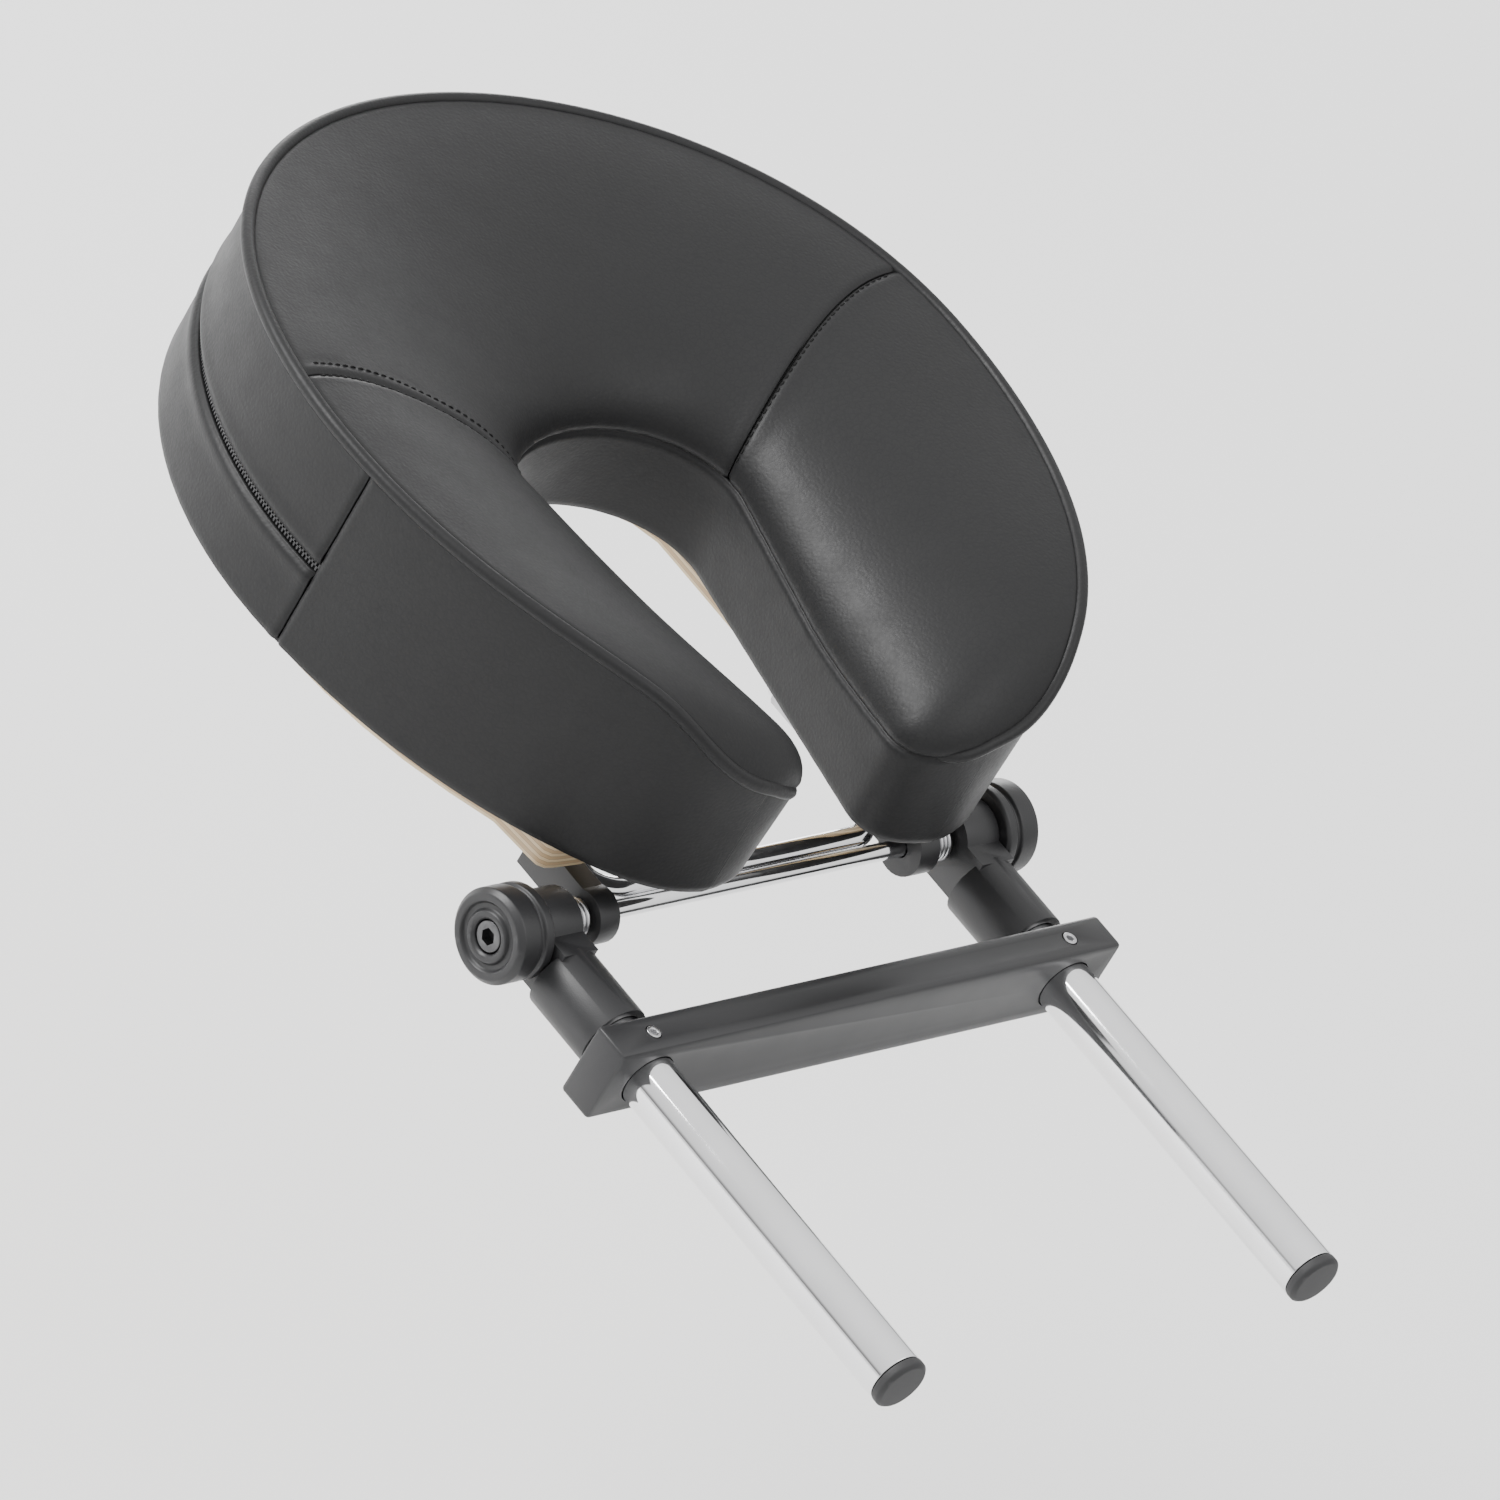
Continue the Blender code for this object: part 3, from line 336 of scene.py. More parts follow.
def spaced(length, fine=(0.0, 0.0004, 0.0009, 0.0015, 0.0023, 0.0034, 0.0050), pitch=0.0032):
    """Places from 0 to 1 along a length, close together near both ends."""
    fine = [f for f in fine if f < length * 0.45]
    count = max(int(round((length - 2 * fine[-1]) / pitch)), 1)
    middle = np.linspace(fine[-1], length - fine[-1], count + 1)
    every = np.r_[fine[:-1], middle, [length - f for f in fine[:-1]][::-1]]
    return every / length


# ---------------------------------------------------------------- meshes
def add_object(name, mesh):
    obj = bpy.data.objects.new(name, mesh)
    SCENE.collection.objects.link(obj)
    return obj


def shade(mesh, angle):
    mesh.shade_smooth()
    if angle < pi:
        mesh.set_sharp_from_angle(angle=angle)


def mesh_object(name, points, faces, angle=radians(50)):
    mesh = bpy.data.meshes.new(name)
    mesh.from_pydata([tuple(map(float, p)) for p in points], [], [tuple(map(int, f)) for f in faces])
    bm = bmesh.new()
    bm.from_mesh(mesh)
    bmesh.ops.remove_doubles(bm, verts=bm.verts, dist=2e-6)
    bmesh.ops.dissolve_degenerate(bm, edges=bm.edges, dist=1e-7)
    bmesh.ops.recalc_face_normals(bm, faces=bm.faces)
    bm.to_mesh(mesh)
    bm.free()
    shade(mesh, angle)
    return add_object(name, mesh)


def grid_faces(count_a, count_b, offset=0):
    i, j = np.meshgrid(np.arange(count_a - 1), np.arange(count_b - 1), indexing="ij")
    at = (i * count_b + j).ravel() + offset
    return np.stack([at, at + count_b, at + count_b + 1, at + 1], -1)


def sheet_solid(name, front, normal, thickness, angle=radians(50)):
    """A closed skin of even thickness behind a grid of points."""
    a, b = front.shape[:2]
    back = front - normal * thickness
    points = np.concatenate([front.reshape(-1, 3), back.reshape(-1, 3)])
    size = a * b
    faces = [*grid_faces(a, b), *(grid_faces(a, b, size)[:, ::-1])]
    rim = [i * b for i in range(a)] + [(a - 1) * b + j for j in range(1, b)]
    rim += [i * b + b - 1 for i in range(a - 2, -1, -1)] + list(range(b - 2, 0, -1))
    for p, q in zip(rim, rim[1:] + rim[:1]):
        faces.append((p, q, q + size, p + size))
    return mesh_object(name, points, faces, angle)


def box_between(low, high):
    x, y, z = zip(low, high)
    return np.array([(a, b, c) for a in x for b in y for c in z]), [
        (0, 1, 3, 2), (4, 6, 7, 5), (0, 4, 5, 1), (2, 3, 7, 6), (0, 2, 6, 4), (1, 5, 7, 3)]


def ring_faces(rings, sides, start=0, closed=False):
    """The faces between each ring of points and the next."""
    made = []
    for i in range(rings if closed else rings - 1):
        a, b = start + i * sides, start + (i + 1) % rings * sides
        made += [(a + k, a + (k + 1) % sides, b + (k + 1) % sides, b + k) for k in range(sides)]
    return made


def end_faces(rings, sides, start=0):
    last = start + (rings - 1) * sides
    return [tuple(range(start, start + sides)), tuple(range(last, last + sides))]


def frames_along(points, cyclic=False, up=None):
    """Tangents and two normals at each point of a line, carried along without twist."""
    points = np.asarray(points, float)
    if cyclic:
        tangent = np.roll(points, -1, 0) - np.roll(points, 1, 0)
    else:
        tangent = np.gradient(points, axis=0)
    tangent /= np.linalg.norm(tangent, axis=1, keepdims=True)
    if up is None:
        up = np.array([0, 0, 1.0]) if abs(tangent[0][2]) < 0.9 else np.array([1.0, 0, 0])
    side = []
    last = np.cross(tangent[0], up)
    for t in tangent:
        last = last - t * (last @ t)
        last = last / np.linalg.norm(last)
        side.append(last)
    side = np.array(side)
    return tangent, side, np.cross(side, tangent)


def tube(name, points, radius, sides=24, cyclic=False, rounded=0.0, angle=radians(60)):
    """A round bar along a line of points, with its ends rounded over if it says so."""
    points = np.asarray(points, float)
    radii = np.broadcast_to(np.asarray(radius, float), len(points)).copy()
    if rounded and not cyclic:
        extra = []
        for end, beside in ((0, 1), (-1, -2)):
            back = points[end] - points[beside]
            back /= np.linalg.norm(back)
            steps = [(sin(a), cos(a)) for a in np.linspace(0, pi / 2, 6)[1:]]
            places = [points[end] + back * rounded * (s - 1) for s, c in steps]
            sizes = [radii[end] - rounded * (1 - c) for s, c in steps]
            extra.append((places, sizes))
            points[end] = points[end] - back * rounded
        points = np.concatenate([extra[0][0][::-1], points, extra[1][0]])
        radii = np.concatenate([extra[0][1][::-1], radii, extra[1][1]])
    _, side, up = frames_along(points, cyclic)
    turn = np.linspace(0, 2 * pi, sides, endpoint=False)
    ring = np.cos(turn)[None, :, None] * side[:, None] + np.sin(turn)[None, :, None] * up[:, None]
    skin_points = points[:, None] + ring * radii[:, None, None]
    faces = ring_faces(len(points), sides, closed=cyclic)
    if not cyclic:
        faces += end_faces(len(points), sides)
    return mesh_object(name, skin_points.reshape(-1, 3), faces, angle)


def lathe_points(profile, sides, origin, axis):
    """Points and faces of a solid of revolution: profile is (radius, distance along axis)."""
    axis = Vector(axis).normalized()
    turn = axis.to_track_quat("Z", "Y").to_matrix()
    points = []
    closed = profile[0][0] > 0 and profile[-1][0] > 0
    for radius, height in profile:
        for k in range(sides):
            a = 2 * pi * k / sides
            points.append(Vector(origin) + turn @ Vector((radius * cos(a), radius * sin(a), height)))
    return points, ring_faces(len(profile), sides, closed=closed)


def lathe(name, profile, origin, axis, sides=64, angle=radians(32)):
    return mesh_object(name, *lathe_points(profile, sides, origin, axis), angle)


def rounded_profile(points, radius, steps=4):
    """A profile with each corner rounded to a radius."""
    points = [np.array(p, float) for p in points]
    made = []
    n = len(points)
    for k, p in enumerate(points):
        before, after = points[k - 1], points[(k + 1) % n]
        if p[0] <= 0:
            made.append(tuple(p))
            continue
        a, b = before - p, after - p
        la, lb = np.linalg.norm(a), np.linalg.norm(b)
        cut = min(radius, la * 0.45, lb * 0.45)
        start, end = p + a / la * cut, p + b / lb * cut
        for t in np.linspace(0, 1, steps + 1):
            made.append(tuple((1 - t) ** 2 * start + 2 * t * (1 - t) * p + t * t * end))
    return made


def cut_by(obj, cutter):
    """Takes the cutter's shape out of the object, and the cutter out of the scene."""
    modifier = obj.modifiers.new("cut", "BOOLEAN")
    modifier.operation, modifier.object, modifier.solver = "DIFFERENCE", cutter, "EXACT"
    apply_modifiers(obj)
    bpy.data.objects.remove(cutter)


def apply_modifiers(obj):
    made = bpy.data.meshes.new_from_object(obj.evaluated_get(bpy.context.evaluated_depsgraph_get()))
    obj.modifiers.clear()
    obj.data = made
    return obj


def bevelled(obj, width, segments=3, angle=radians(35)):
    bevel = obj.modifiers.new("rounded", "BEVEL")
    bevel.width, bevel.segments, bevel.limit_method, bevel.angle_limit = width, segments, "ANGLE", angle
    apply_modifiers(obj)
    shade(obj.data, radians(40))
    return obj


def stitches(name, points, normals, pitch=0.0030, length=0.0024, radius=0.00036, lift=0.00022, sides=6):
    """A row of sewn stitches along a line on a surface."""
    points, normals = np.asarray(points, float), np.asarray(normals, float)
    reach = run_length(points)
    count = max(int(reach[-1] / pitch), 1)
    step = reach[-1] / count
    body, faces = [], []
    shares = np.array([-0.5, -0.42, -0.25, 0.0, 0.25, 0.42, 0.5])
    thick = np.array([0.35, 0.85, 1.0, 1.0, 1.0, 0.85, 0.35])
    rise = np.array([-1.6, -0.6, 0.5, 1.0, 0.5, -0.6, -1.6])
    for n in range(count):
        at = (n + 0.5) * step + shares * length
        p, m = along_line(at, reach, points), along_line(at, reach, normals)
        m /= np.linalg.norm(m, axis=1, keepdims=True)
        along = p[-1] - p[0]
        along /= np.linalg.norm(along) + 1e-12
        side = np.cross(along, m)
        p = p + m * (rise * lift)[:, None]
        start = len(body)
        for c, up, s, t in zip(p, m, side, thick):
            for k in range(sides):
                a = 2 * pi * k / sides
                body.append(c + (up * sin(a) + s * cos(a)) * radius * t)
        faces += ring_faces(len(shares), sides, start) + end_faces(len(shares), sides, start)
    return mesh_object(name, body, faces, pi)


# ---------------------------------------------------------------- materials
class Finish:
    """A node material, built up from texture nodes in the object's own space."""

    def __init__(self, name):
        self.material = bpy.data.materials.new(name)
        self.material.use_nodes = True
        self.tree = self.material.node_tree
        self.shader = self.tree.nodes["Principled BSDF"]
        self.place = self.node("ShaderNodeTexCoord").outputs["Object"]

    def node(self, kind, inputs=(), **props):
        made = self.tree.nodes.new(kind)
        for key, value in props.items():
            setattr(made, key, value)
        for key, value in dict(inputs).items():
            self.put(made.inputs[key], value)
        return made

    def put(self, socket, value):
        if isinstance(value, bpy.types.NodeSocket):
            self.tree.links.new(value, socket)
        else:
            socket.default_value = value

    def set(self, **values):
        for key, value in values.items():
            self.put(self.shader.inputs[key.replace("_", " ")], value)
        return self

    def scaled(self, scale, turn=(0, 0, 0)):
        return self.node("ShaderNodeMapping", {"Vector": self.place, "Scale": scale, "Rotation": turn}).outputs[0]

    def noise(self, scale, detail=3.0, roughness=0.5, place=None, distortion=0.0):
        inputs = {"Vector": place or self.place, "Scale": scale, "Detail": detail, "Roughness": roughness,
                  "Distortion": distortion}
        return self.node("ShaderNodeTexNoise", inputs).outputs["Fac"]

    def cells(self, scale, feature="F1", place=None, randomness=1.0):
        inputs = {"Vector": place or self.place, "Scale": scale, "Randomness": randomness}
        return self.node("ShaderNodeTexVoronoi", inputs, feature=feature).outputs["Distance"]

    def wave(self, scale, direction="X", distortion=0.0, place=None, profile="SIN", detail=1.0):
        inputs = {"Vector": place or self.place, "Scale": scale, "Distortion": distortion, "Detail": detail}
        return self.node("ShaderNodeTexWave", inputs, bands_direction=direction, wave_profile=profile).outputs["Fac"]

    def math(self, operation, a, b=0.5, clamp=False):
        made = self.node("ShaderNodeMath", operation=operation, use_clamp=clamp)
        self.put(made.inputs[0], a)
        self.put(made.inputs[1], b)
        return made.outputs[0]

    def between(self, value, low, high, start=0.0, end=1.0):
        inputs = {"Value": value, "From Min": start, "From Max": end, "To Min": low, "To Max": high}
        return self.node("ShaderNodeMapRange", inputs).outputs[0]

    def ramp(self, value, stops):
        made = self.node("ShaderNodeValToRGB", {"Fac": value})
        ramp = made.color_ramp
        while len(ramp.elements) < len(stops):
            ramp.elements.new(0.5)
        for element, (position, colour) in zip(ramp.elements, stops):
            element.position = position
            element.color = (*colour, 1)
        return made.outputs["Color"]

    def mix(self, factor, a, b, blend="MIX"):
        made = self.node("ShaderNodeMix", data_type="RGBA", blend_type=blend)
        sockets = [s for s in made.inputs if s.enabled]
        for socket, value in zip(sockets, (factor, a, b)):
            if isinstance(value, tuple):
                value = (*value, 1) if len(value) == 3 else value
            self.put(socket, value)
        return [s for s in made.outputs if s.enabled][0]

    def bump(self, height, distance, strength=1.0, before=None):
        inputs = {"Height": height, "Distance": distance, "Strength": strength}
        if before is not None:
            inputs["Normal"] = before
        return self.node("ShaderNodeBump", inputs).outputs[0]


def leather():
    f = Finish("black_leatherette")
    warped = f.node("ShaderNodeVectorMath", {0: f.place, 1: f.node("ShaderNodeVectorMath", {
        0: f.node("ShaderNodeTexNoise", {"Vector": f.place, "Scale": 260.0, "Detail": 2.0}).outputs["Color"],
        1: (0.0012, 0.0012, 0.0012)}, operation="MULTIPLY").outputs[0]}, operation="ADD").outputs[0]
    pebbles = f.cells(950.0, "SMOOTH_F1", warped)
    creases = f.cells(420.0, "DISTANCE_TO_EDGE", warped)
    fine = f.noise(3200.0, 2.0)
    soft = f.noise(9.0, 3.0)
    worn = f.noise(70.0, 4.0, 0.6)
    shade_of = f.ramp(soft, [(0.30, (0.0120, 0.0120, 0.0124)), (0.72, (0.0150, 0.0150, 0.0154))])
    edge = f.node("ShaderNodeNewGeometry").outputs["Pointiness"]
    rubbed = f.between(edge, 0.0, 0.5, 0.53, 0.60)
    rubbed = f.math("MULTIPLY", rubbed, worn)
    colour = f.mix(rubbed, shade_of, (0.040, 0.040, 0.040))
    # the grain's creases are painted darker: painted shade in the creases
    colour = f.mix(f.between(creases, 0.35, 0.0, 0.0, 0.12), colour, (0.009, 0.009, 0.010))
    rough = f.math("ADD", f.between(worn, 0.42, 0.52, 0.25, 0.75), f.between(pebbles, -0.03, 0.04))
    first = f.bump(creases, 0.00012, 0.35)
    second = f.bump(pebbles, 0.00010, 0.55, first)
    third = f.bump(fine, 0.00004, 0.35, second)
    return f.set(Base_Color=colour, Roughness=rough, Normal=third, Specular_IOR_Level=0.22).material


def thread():
    f = Finish("bonded_thread")
    twist = f.wave(900.0, "DIAGONAL", 1.0)
    colour = f.ramp(twist, [(0.2, (0.003, 0.003, 0.003)), (0.8, (0.007, 0.007, 0.007))])
    return f.set(Base_Color=colour, Roughness=0.6, Normal=f.bump(twist, 0.00010, 0.8),
                 Specular_IOR_Level=0.2).material


def woven(name, dark, light, scale=700.0, fuzz=0.3):
    f = Finish(name)
    warp = f.wave(scale, "DIAGONAL", 0.6)
    weft = f.wave(scale, "Z", 0.6)
    weave = f.math("MULTIPLY", f.math("ADD", warp, weft), 0.5)
    fibre = f.noise(2600.0, 3.0)
    colour = f.mix(f.math("MULTIPLY", weave, f.between(fibre, 0.7, 1.1)), dark, light)
    return f.set(Base_Color=colour, Roughness=f.between(fibre, 0.75, 0.95), Sheen_Weight=fuzz, Sheen_Roughness=0.5,
                 Normal=f.bump(f.math("ADD", weave, f.math("MULTIPLY", fibre, 0.5)), 0.00012, 0.8)).material


def foam(name, dark, light):
    f = Finish(name)
    cells = f.cells(1100.0, "F1")
    colour = f.ramp(f.math("ADD", cells, f.between(f.noise(40.0, 3.0), -0.25, 0.25)), [(0.1, dark), (0.7, light)])
    return f.set(Base_Color=colour, Roughness=0.95, Normal=f.bump(cells, 0.0003, 0.7), Subsurface_Weight=0.05).material


def plywood():
    f = Finish("birch_plywood")
    grain = f.scaled((34.0, 2.2, 34.0))
    figure = f.noise(1.0, 5.0, 0.62, grain, 0.7)
    pores = f.noise(1.0, 2.0, 0.5, f.scaled((900.0, 40.0, 900.0)))
    face = f.ramp(figure, [(0.30, (0.62, 0.45, 0.25)), (0.52, (0.76, 0.59, 0.36)), (0.74, (0.83, 0.68, 0.46))])
    face = f.mix(f.between(pores, 0.45, 0.0, 0.30, 0.42), face, (0.45, 0.30, 0.16))
    height = f.node("ShaderNodeSeparateXYZ", {"Vector": f.place}).outputs["Z"]
    ply = f.math("MULTIPLY", f.math("SUBTRACT", height, BOARD_BOTTOM), PLIES / (BOARD_TOP - BOARD_BOTTOM))
    odd = f.math("GREATER_THAN", f.math("FRACT", f.math("MULTIPLY", ply, 0.5)), 0.5)
    glue = f.math("LESS_THAN", f.math("FRACT", ply), 0.10)
    fibres = f.noise(1.0, 3.0, 0.6, f.scaled((60.0, 60.0, 900.0)))
    side = f.mix(odd, (0.80, 0.64, 0.41), (0.60, 0.42, 0.24))
    side = f.mix(f.between(fibres, 0.0, 0.55, 0.4, 0.8), side, (0.50, 0.34, 0.18))
    side = f.mix(glue, side, (0.33, 0.21, 0.12))
    up = f.node("ShaderNodeSeparateXYZ", {"Vector": f.node("ShaderNodeTexCoord").outputs["Normal"]}).outputs["Z"]
    flat = f.math("GREATER_THAN", f.math("ABSOLUTE", up, 0.0), 0.75)
    colour = f.mix(flat, side, face)
    rough = f.between(figure, 0.42, 0.58)
    return f.set(Base_Color=colour, Roughness=rough, Coat_Weight=0.15, Coat_Roughness=0.3,
                 Normal=f.bump(f.math("ADD", pores, f.math("MULTIPLY", fibres, 0.5)), 0.00006, 0.5)).material


def chrome():
    f = Finish("polished_chrome")
    smear = f.noise(30.0, 4.0, 0.6)
    scratch = f.noise(1.0, 2.0, 0.5, f.scaled((60.0, 4000.0, 60.0)))
    rough = f.math("ADD", f.between(smear, 0.05, 0.12, 0.35, 0.75), f.between(scratch, 0.0, 0.03, 0.5, 0.8))
    colour = f.ramp(smear, [(0.2, (0.80, 0.80, 0.81)), (0.8, (0.88, 0.88, 0.89))])
    return f.set(Base_Color=colour, Metallic=1.0, Roughness=rough, Normal=f.bump(scratch, 0.00001, 0.2)).material


def brushed_metal(name, dark, light, blotches, smooth_to, rough_to):
    f = Finish(name)
    brushed = f.noise(1.0, 3.0, 0.6, f.scaled((300.0, 3000.0, 300.0)))
    blotch = f.noise(blotches, 4.0, 0.6)
    colour = f.ramp(blotch, [(0.3, dark), (0.7, light)])
    return f.set(Base_Color=colour, Metallic=1.0, Roughness=f.between(brushed, smooth_to, rough_to),
                 Normal=f.bump(brushed, 0.00003, 0.4)).material


def plastic(name, colour, gloss=0.42, grain=2300.0):
    f = Finish(name)
    spark = f.cells(grain, "F1")
    cloud = f.noise(60.0, 4.0, 0.6)
    # sharp edges are painted lighter: a painted edge highlight
    edge = f.between(f.node("ShaderNodeNewGeometry").outputs["Pointiness"], 0.0, 0.45, 0.52, 0.62)
    edge_highlight_colour = tuple(min(c * 2.1 + 0.01, 1) for c in colour)
    shade_of = f.mix(f.between(cloud, 0.0, 0.35, 0.3, 0.8), colour, tuple(c * 1.35 for c in colour))
    shade_of = f.mix(edge, shade_of, edge_highlight_colour)
    return f.set(Base_Color=shade_of, Roughness=f.math("ADD", gloss, f.between(cloud, -0.05, 0.08)),
                 Normal=f.bump(spark, 0.00006, 0.35), Specular_IOR_Level=0.45).material


FINISH = {
    "cover": leather(),
    "thread": thread(),
    # near-black cloth for the sheet of painted shade behind the seams and the zip
    "seam_shade_sheet": woven("seam_shade_cloth", (0.003, 0.003, 0.003), (0.008, 0.008, 0.008), 900.0, 0.0),
    "zip": woven("zip_tape", (0.006, 0.006, 0.007), (0.024, 0.024, 0.026), 1100.0, 0.0),
    "coil": plastic("nylon_coil", (0.014, 0.014, 0.015), 0.28, 4000.0),
    "foam": foam("polyurethane_foam", (0.60, 0.54, 0.38), (0.86, 0.82, 0.68)),
    "comfort": foam("memory_foam", (0.44, 0.52, 0.58), (0.70, 0.77, 0.80)),
    "tape": woven("hook_and_loop", (0.008, 0.008, 0.008), (0.035, 0.035, 0.036), 500.0, 0.5),
    "pile": plastic("nylon_pile", (0.010, 0.010, 0.010), 0.5, 4000.0),
    "plywood": plywood(),
    "chrome": chrome(),
    "steel": brushed_metal("zinc_plated_steel", (0.40, 0.40, 0.41), (0.56, 0.56, 0.57), 160.0, 0.26, 0.42),
    "plastic": plastic("black_moulded_plastic", (0.014, 0.014, 0.015)),
    "blackened": brushed_metal("blackened_steel", (0.070, 0.070, 0.072), (0.130, 0.130, 0.132), 220.0, 0.30, 0.46),
    "rubber": plastic("soft_black_rubber", (0.020, 0.020, 0.021), 0.60, 1500.0),
}


def piece(obj, body, slot, replaces=(), finish=None):
    """Gives a piece its finish, the body that it rides on and the CAD nodes that it stands for."""
    obj.data.materials.clear()
    obj.data.materials.append(FINISH[finish or slot])
    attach(obj, body)
    if replaces:
        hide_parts(*replaces)
    return obj


# ---------------------------------------------------------------- the cover
SKIN = 0.0012
PROUD = 0.0010
GROOVE, GROOVE_WIDTH, CRACK = 0.0010, 0.0011, 0.00035
ZIP_HALF = 0.0019
TOPSTITCH, SEAM_STITCH, ZIP_STITCH = 0.0046, 0.0009, 0.0066
TOP_WIDTH, ROW_LENGTH = 0.095, 0.0150   # about how far it is across the top, and from row to row


def dip(distance, depth=GROOVE, width=GROOVE_WIDTH):
    """How far the cover sinks towards a seam that is this far away, with a soft shoulder beside it."""
    shoulder = 0.10 * depth * np.exp(-(((distance - 2.6 * width) / width) ** 2))
    return depth * np.exp(-((distance / width) ** 2)) - shoulder


def pucker(reach, distance, seed):
    """Small ripples that the needle leaves beside a seam."""
    waves = np.sin(reach * 620 + seed) * 0.6 + np.sin(reach * 1370 + 1.7 * seed) * 0.4
    return 0.00011 * waves * np.exp(-((distance / 0.006) ** 2))


def edge_distances(points):
    """How far each point of a grid is from its four sides, measured along the grid."""
    a = np.linalg.norm(np.diff(points, axis=0), axis=-1)
    b = np.linalg.norm(np.diff(points, axis=1), axis=-1)
    along = np.concatenate([np.zeros((1, points.shape[1])), np.cumsum(a, 0)])
    across = np.concatenate([np.zeros((points.shape[0], 1)), np.cumsum(b, 1)], 1)
    return along, along[-1:] - along, across, across[:, -1:] - across


def panel(name, points, sides, seed, seams=(1, 1, 1, 1), outside=1, topstitched=(), lip=None):
    """A cover panel on a grid of points. seams says which of its four sides are sewn, and how deep they sink. lip is
    (side, depth): that edge folds under, as at a zip."""
    normal = grid_normals(points) * outside
    near = edge_distances(points)
    sunk = np.zeros(points.shape[:2])
    for distance, reach, depth in zip(near, (near[2], near[2], near[0], near[0]), seams):
        if depth:
            sunk += dip(distance) * depth
            sunk += pucker(reach, distance, seed) * min(depth, 1)
    for distance, at in topstitched:
        sunk += 0.00035 * np.exp(-(((near[distance] - at) / 0.0006) ** 2))
    if lip is not None:
        distance = near[lip[0]]
        sunk += lip[1] * np.exp(-((distance / 0.0011) ** 2)) - 0.0006 * np.exp(-(((distance - 0.0035) / 0.0022) ** 2))
        sunk += 0.0006 * np.exp(-(((distance - 0.0068) / 0.0008) ** 2))
    front = drawn_back(points + normal * (PROUD - sunk)[..., None], seams)
    obj = sheet_solid(name, front, normal, SKIN, pi)
    return piece(obj, "cushion", "cover", sides), front, normal


def drawn_back(front, seams):
    """The grid with its sewn ends drawn back a little, so that a seam shows as a dark line."""
    front = front.copy()
    for line, beside, depth in ((front[0], front[1], seams[0]), (front[-1], front[-2], seams[1])):
        if depth:
            step = beside - line
            line += step / (np.linalg.norm(step, axis=-1, keepdims=True) + 1e-12) * CRACK
    return front


def top_grid(first, last):
    """A grid of the top's points between two seam curves, each a function of the share across."""
    shares = spaced(TOP_WIDTH)
    along = spaced(abs(last(0.5) - first(0.5)) * ROW_LENGTH)
    s, a = np.meshgrid(shares, along)
    row = first(s) + (last(s) - first(s)) * a
    return skin(row, J_EDGE + s * (J_SEAM - J_EDGE), J_EDGE, J_SEAM)


def tip_end(share):
    return np.full_like(np.asarray(share, float), ROWS)


def tip_start(share):
    return -tip_end(share)


def left_seam(share):
    return -seam_row(share)

crown_points = top_grid(left_seam, seam_row)
crown, crown_front, crown_normal = panel("crown_panel_soft", crown_points, ["crown_panel"], 1.0, (1, 1, 0.9, 1),
                                          topstitched=((0, TOPSTITCH),))
arm_fronts = {}
for side, sign in (("left", -1), ("right", 1)):
    first, last = (tip_start, left_seam) if sign < 0 else (seam_row, tip_end)
    points = top_grid(first, last)
    seams = (0, 1, 0.9, 1) if sign < 0 else (1, 0, 0.9, 1)
    arm_fronts[side] = panel(f"{side}_arm_panel_soft", points, [f"{side}_arm_panel"], 2.0 + sign, seams)


USUAL_WALL = 0.07


def wall_grid(rows, low_z, high_z, j_low, j_high, pitch=0.0034):
    """A grid of a wall's points. low_z and high_z are heights above the underside, or None for the wall's own edge."""
    rows = np.asarray(rows, float)
    dense = skin(rows[:, None], np.linspace(j_low, j_high, 60)[None, :], j_low, j_high)
    z = dense[..., 2] - FLOOR_OF_CUSHION
    if low_z is None and high_z is None:
        height = z[len(rows) // 2, -1] - z[len(rows) // 2, 0]
    else:
        height = (high_z or USUAL_WALL) - (low_z or 0.0)
    shares = spaced(abs(height), pitch=pitch)
    made = np.zeros((len(rows), len(shares), 3))
    places = np.linspace(j_low, j_high, 60)
    for i in range(len(rows)):
        bottom = z[i].min() if low_z is None else low_z
        top = z[i].max() if high_z is None else high_z
        wanted = bottom + (top - bottom) * shares
        order = np.argsort(z[i], kind="stable")
        j = np.interp(wanted, z[i][order], places[order])
        made[i] = skin(np.full(len(j), rows[i]), j, j_low, j_high)
    return made


def wall_rows(first, last, pitch=0.0034, inner=False, fine=True):
    """Rows along an edge at an even pitch, close together near both ends."""
    dense = np.linspace(first, last, 600)
    at = inner_at if inner else outer_at
    reach = run_length(at(dense))
    shares = spaced(reach[-1], pitch=pitch) if fine else np.linspace(0, 1, max(int(reach[-1] / pitch), 4))
    return np.interp(shares * reach[-1], reach, dense)


zip_rows = wall_rows(-ZIP_END_ROW, ZIP_END_ROW)
zip_low, zip_high = ZIP_HEIGHT - ZIP_HALF, ZIP_HEIGHT + ZIP_HALF


lower_points = wall_grid(zip_rows, None, zip_low, 0, J_EDGE)
upper_points = wall_grid(zip_rows, zip_high, None, 0, J_EDGE)
panel("lower_boxing_soft", lower_points, ["lower_boxing"], 4.0, (1, 1, 0.5, 0), lip=(3, 0.0012))
panel("upper_boxing_soft", upper_points, ["upper_boxing"], 5.0, (1, 1, 0, 0.9), lip=(2, 0.0006))
for side, sign in (("left", -1), ("right", 1)):
    rows = wall_rows(*((-ROWS, -ZIP_END_ROW) if sign < 0 else (ZIP_END_ROW, ROWS)))
    points = wall_grid(rows, None, None, 0, J_EDGE)
    seams = (0, 1, 0.5, 0.9) if sign < 0 else (1, 0, 0.5, 0.9)
    panel(f"{side}_boxing_soft", points, [f"{side}_boxing"], 6.0 + sign, seams)
rows = wall_rows(-ROWS, ROWS, inner=True)
inner_points = wall_grid(rows, None, None, J_SEAM, J_FOOT)
panel("inner_boxing_soft", inner_points, ["inner_boxing"], 8.0, (0, 0, 0.5, 1), outside=-1)
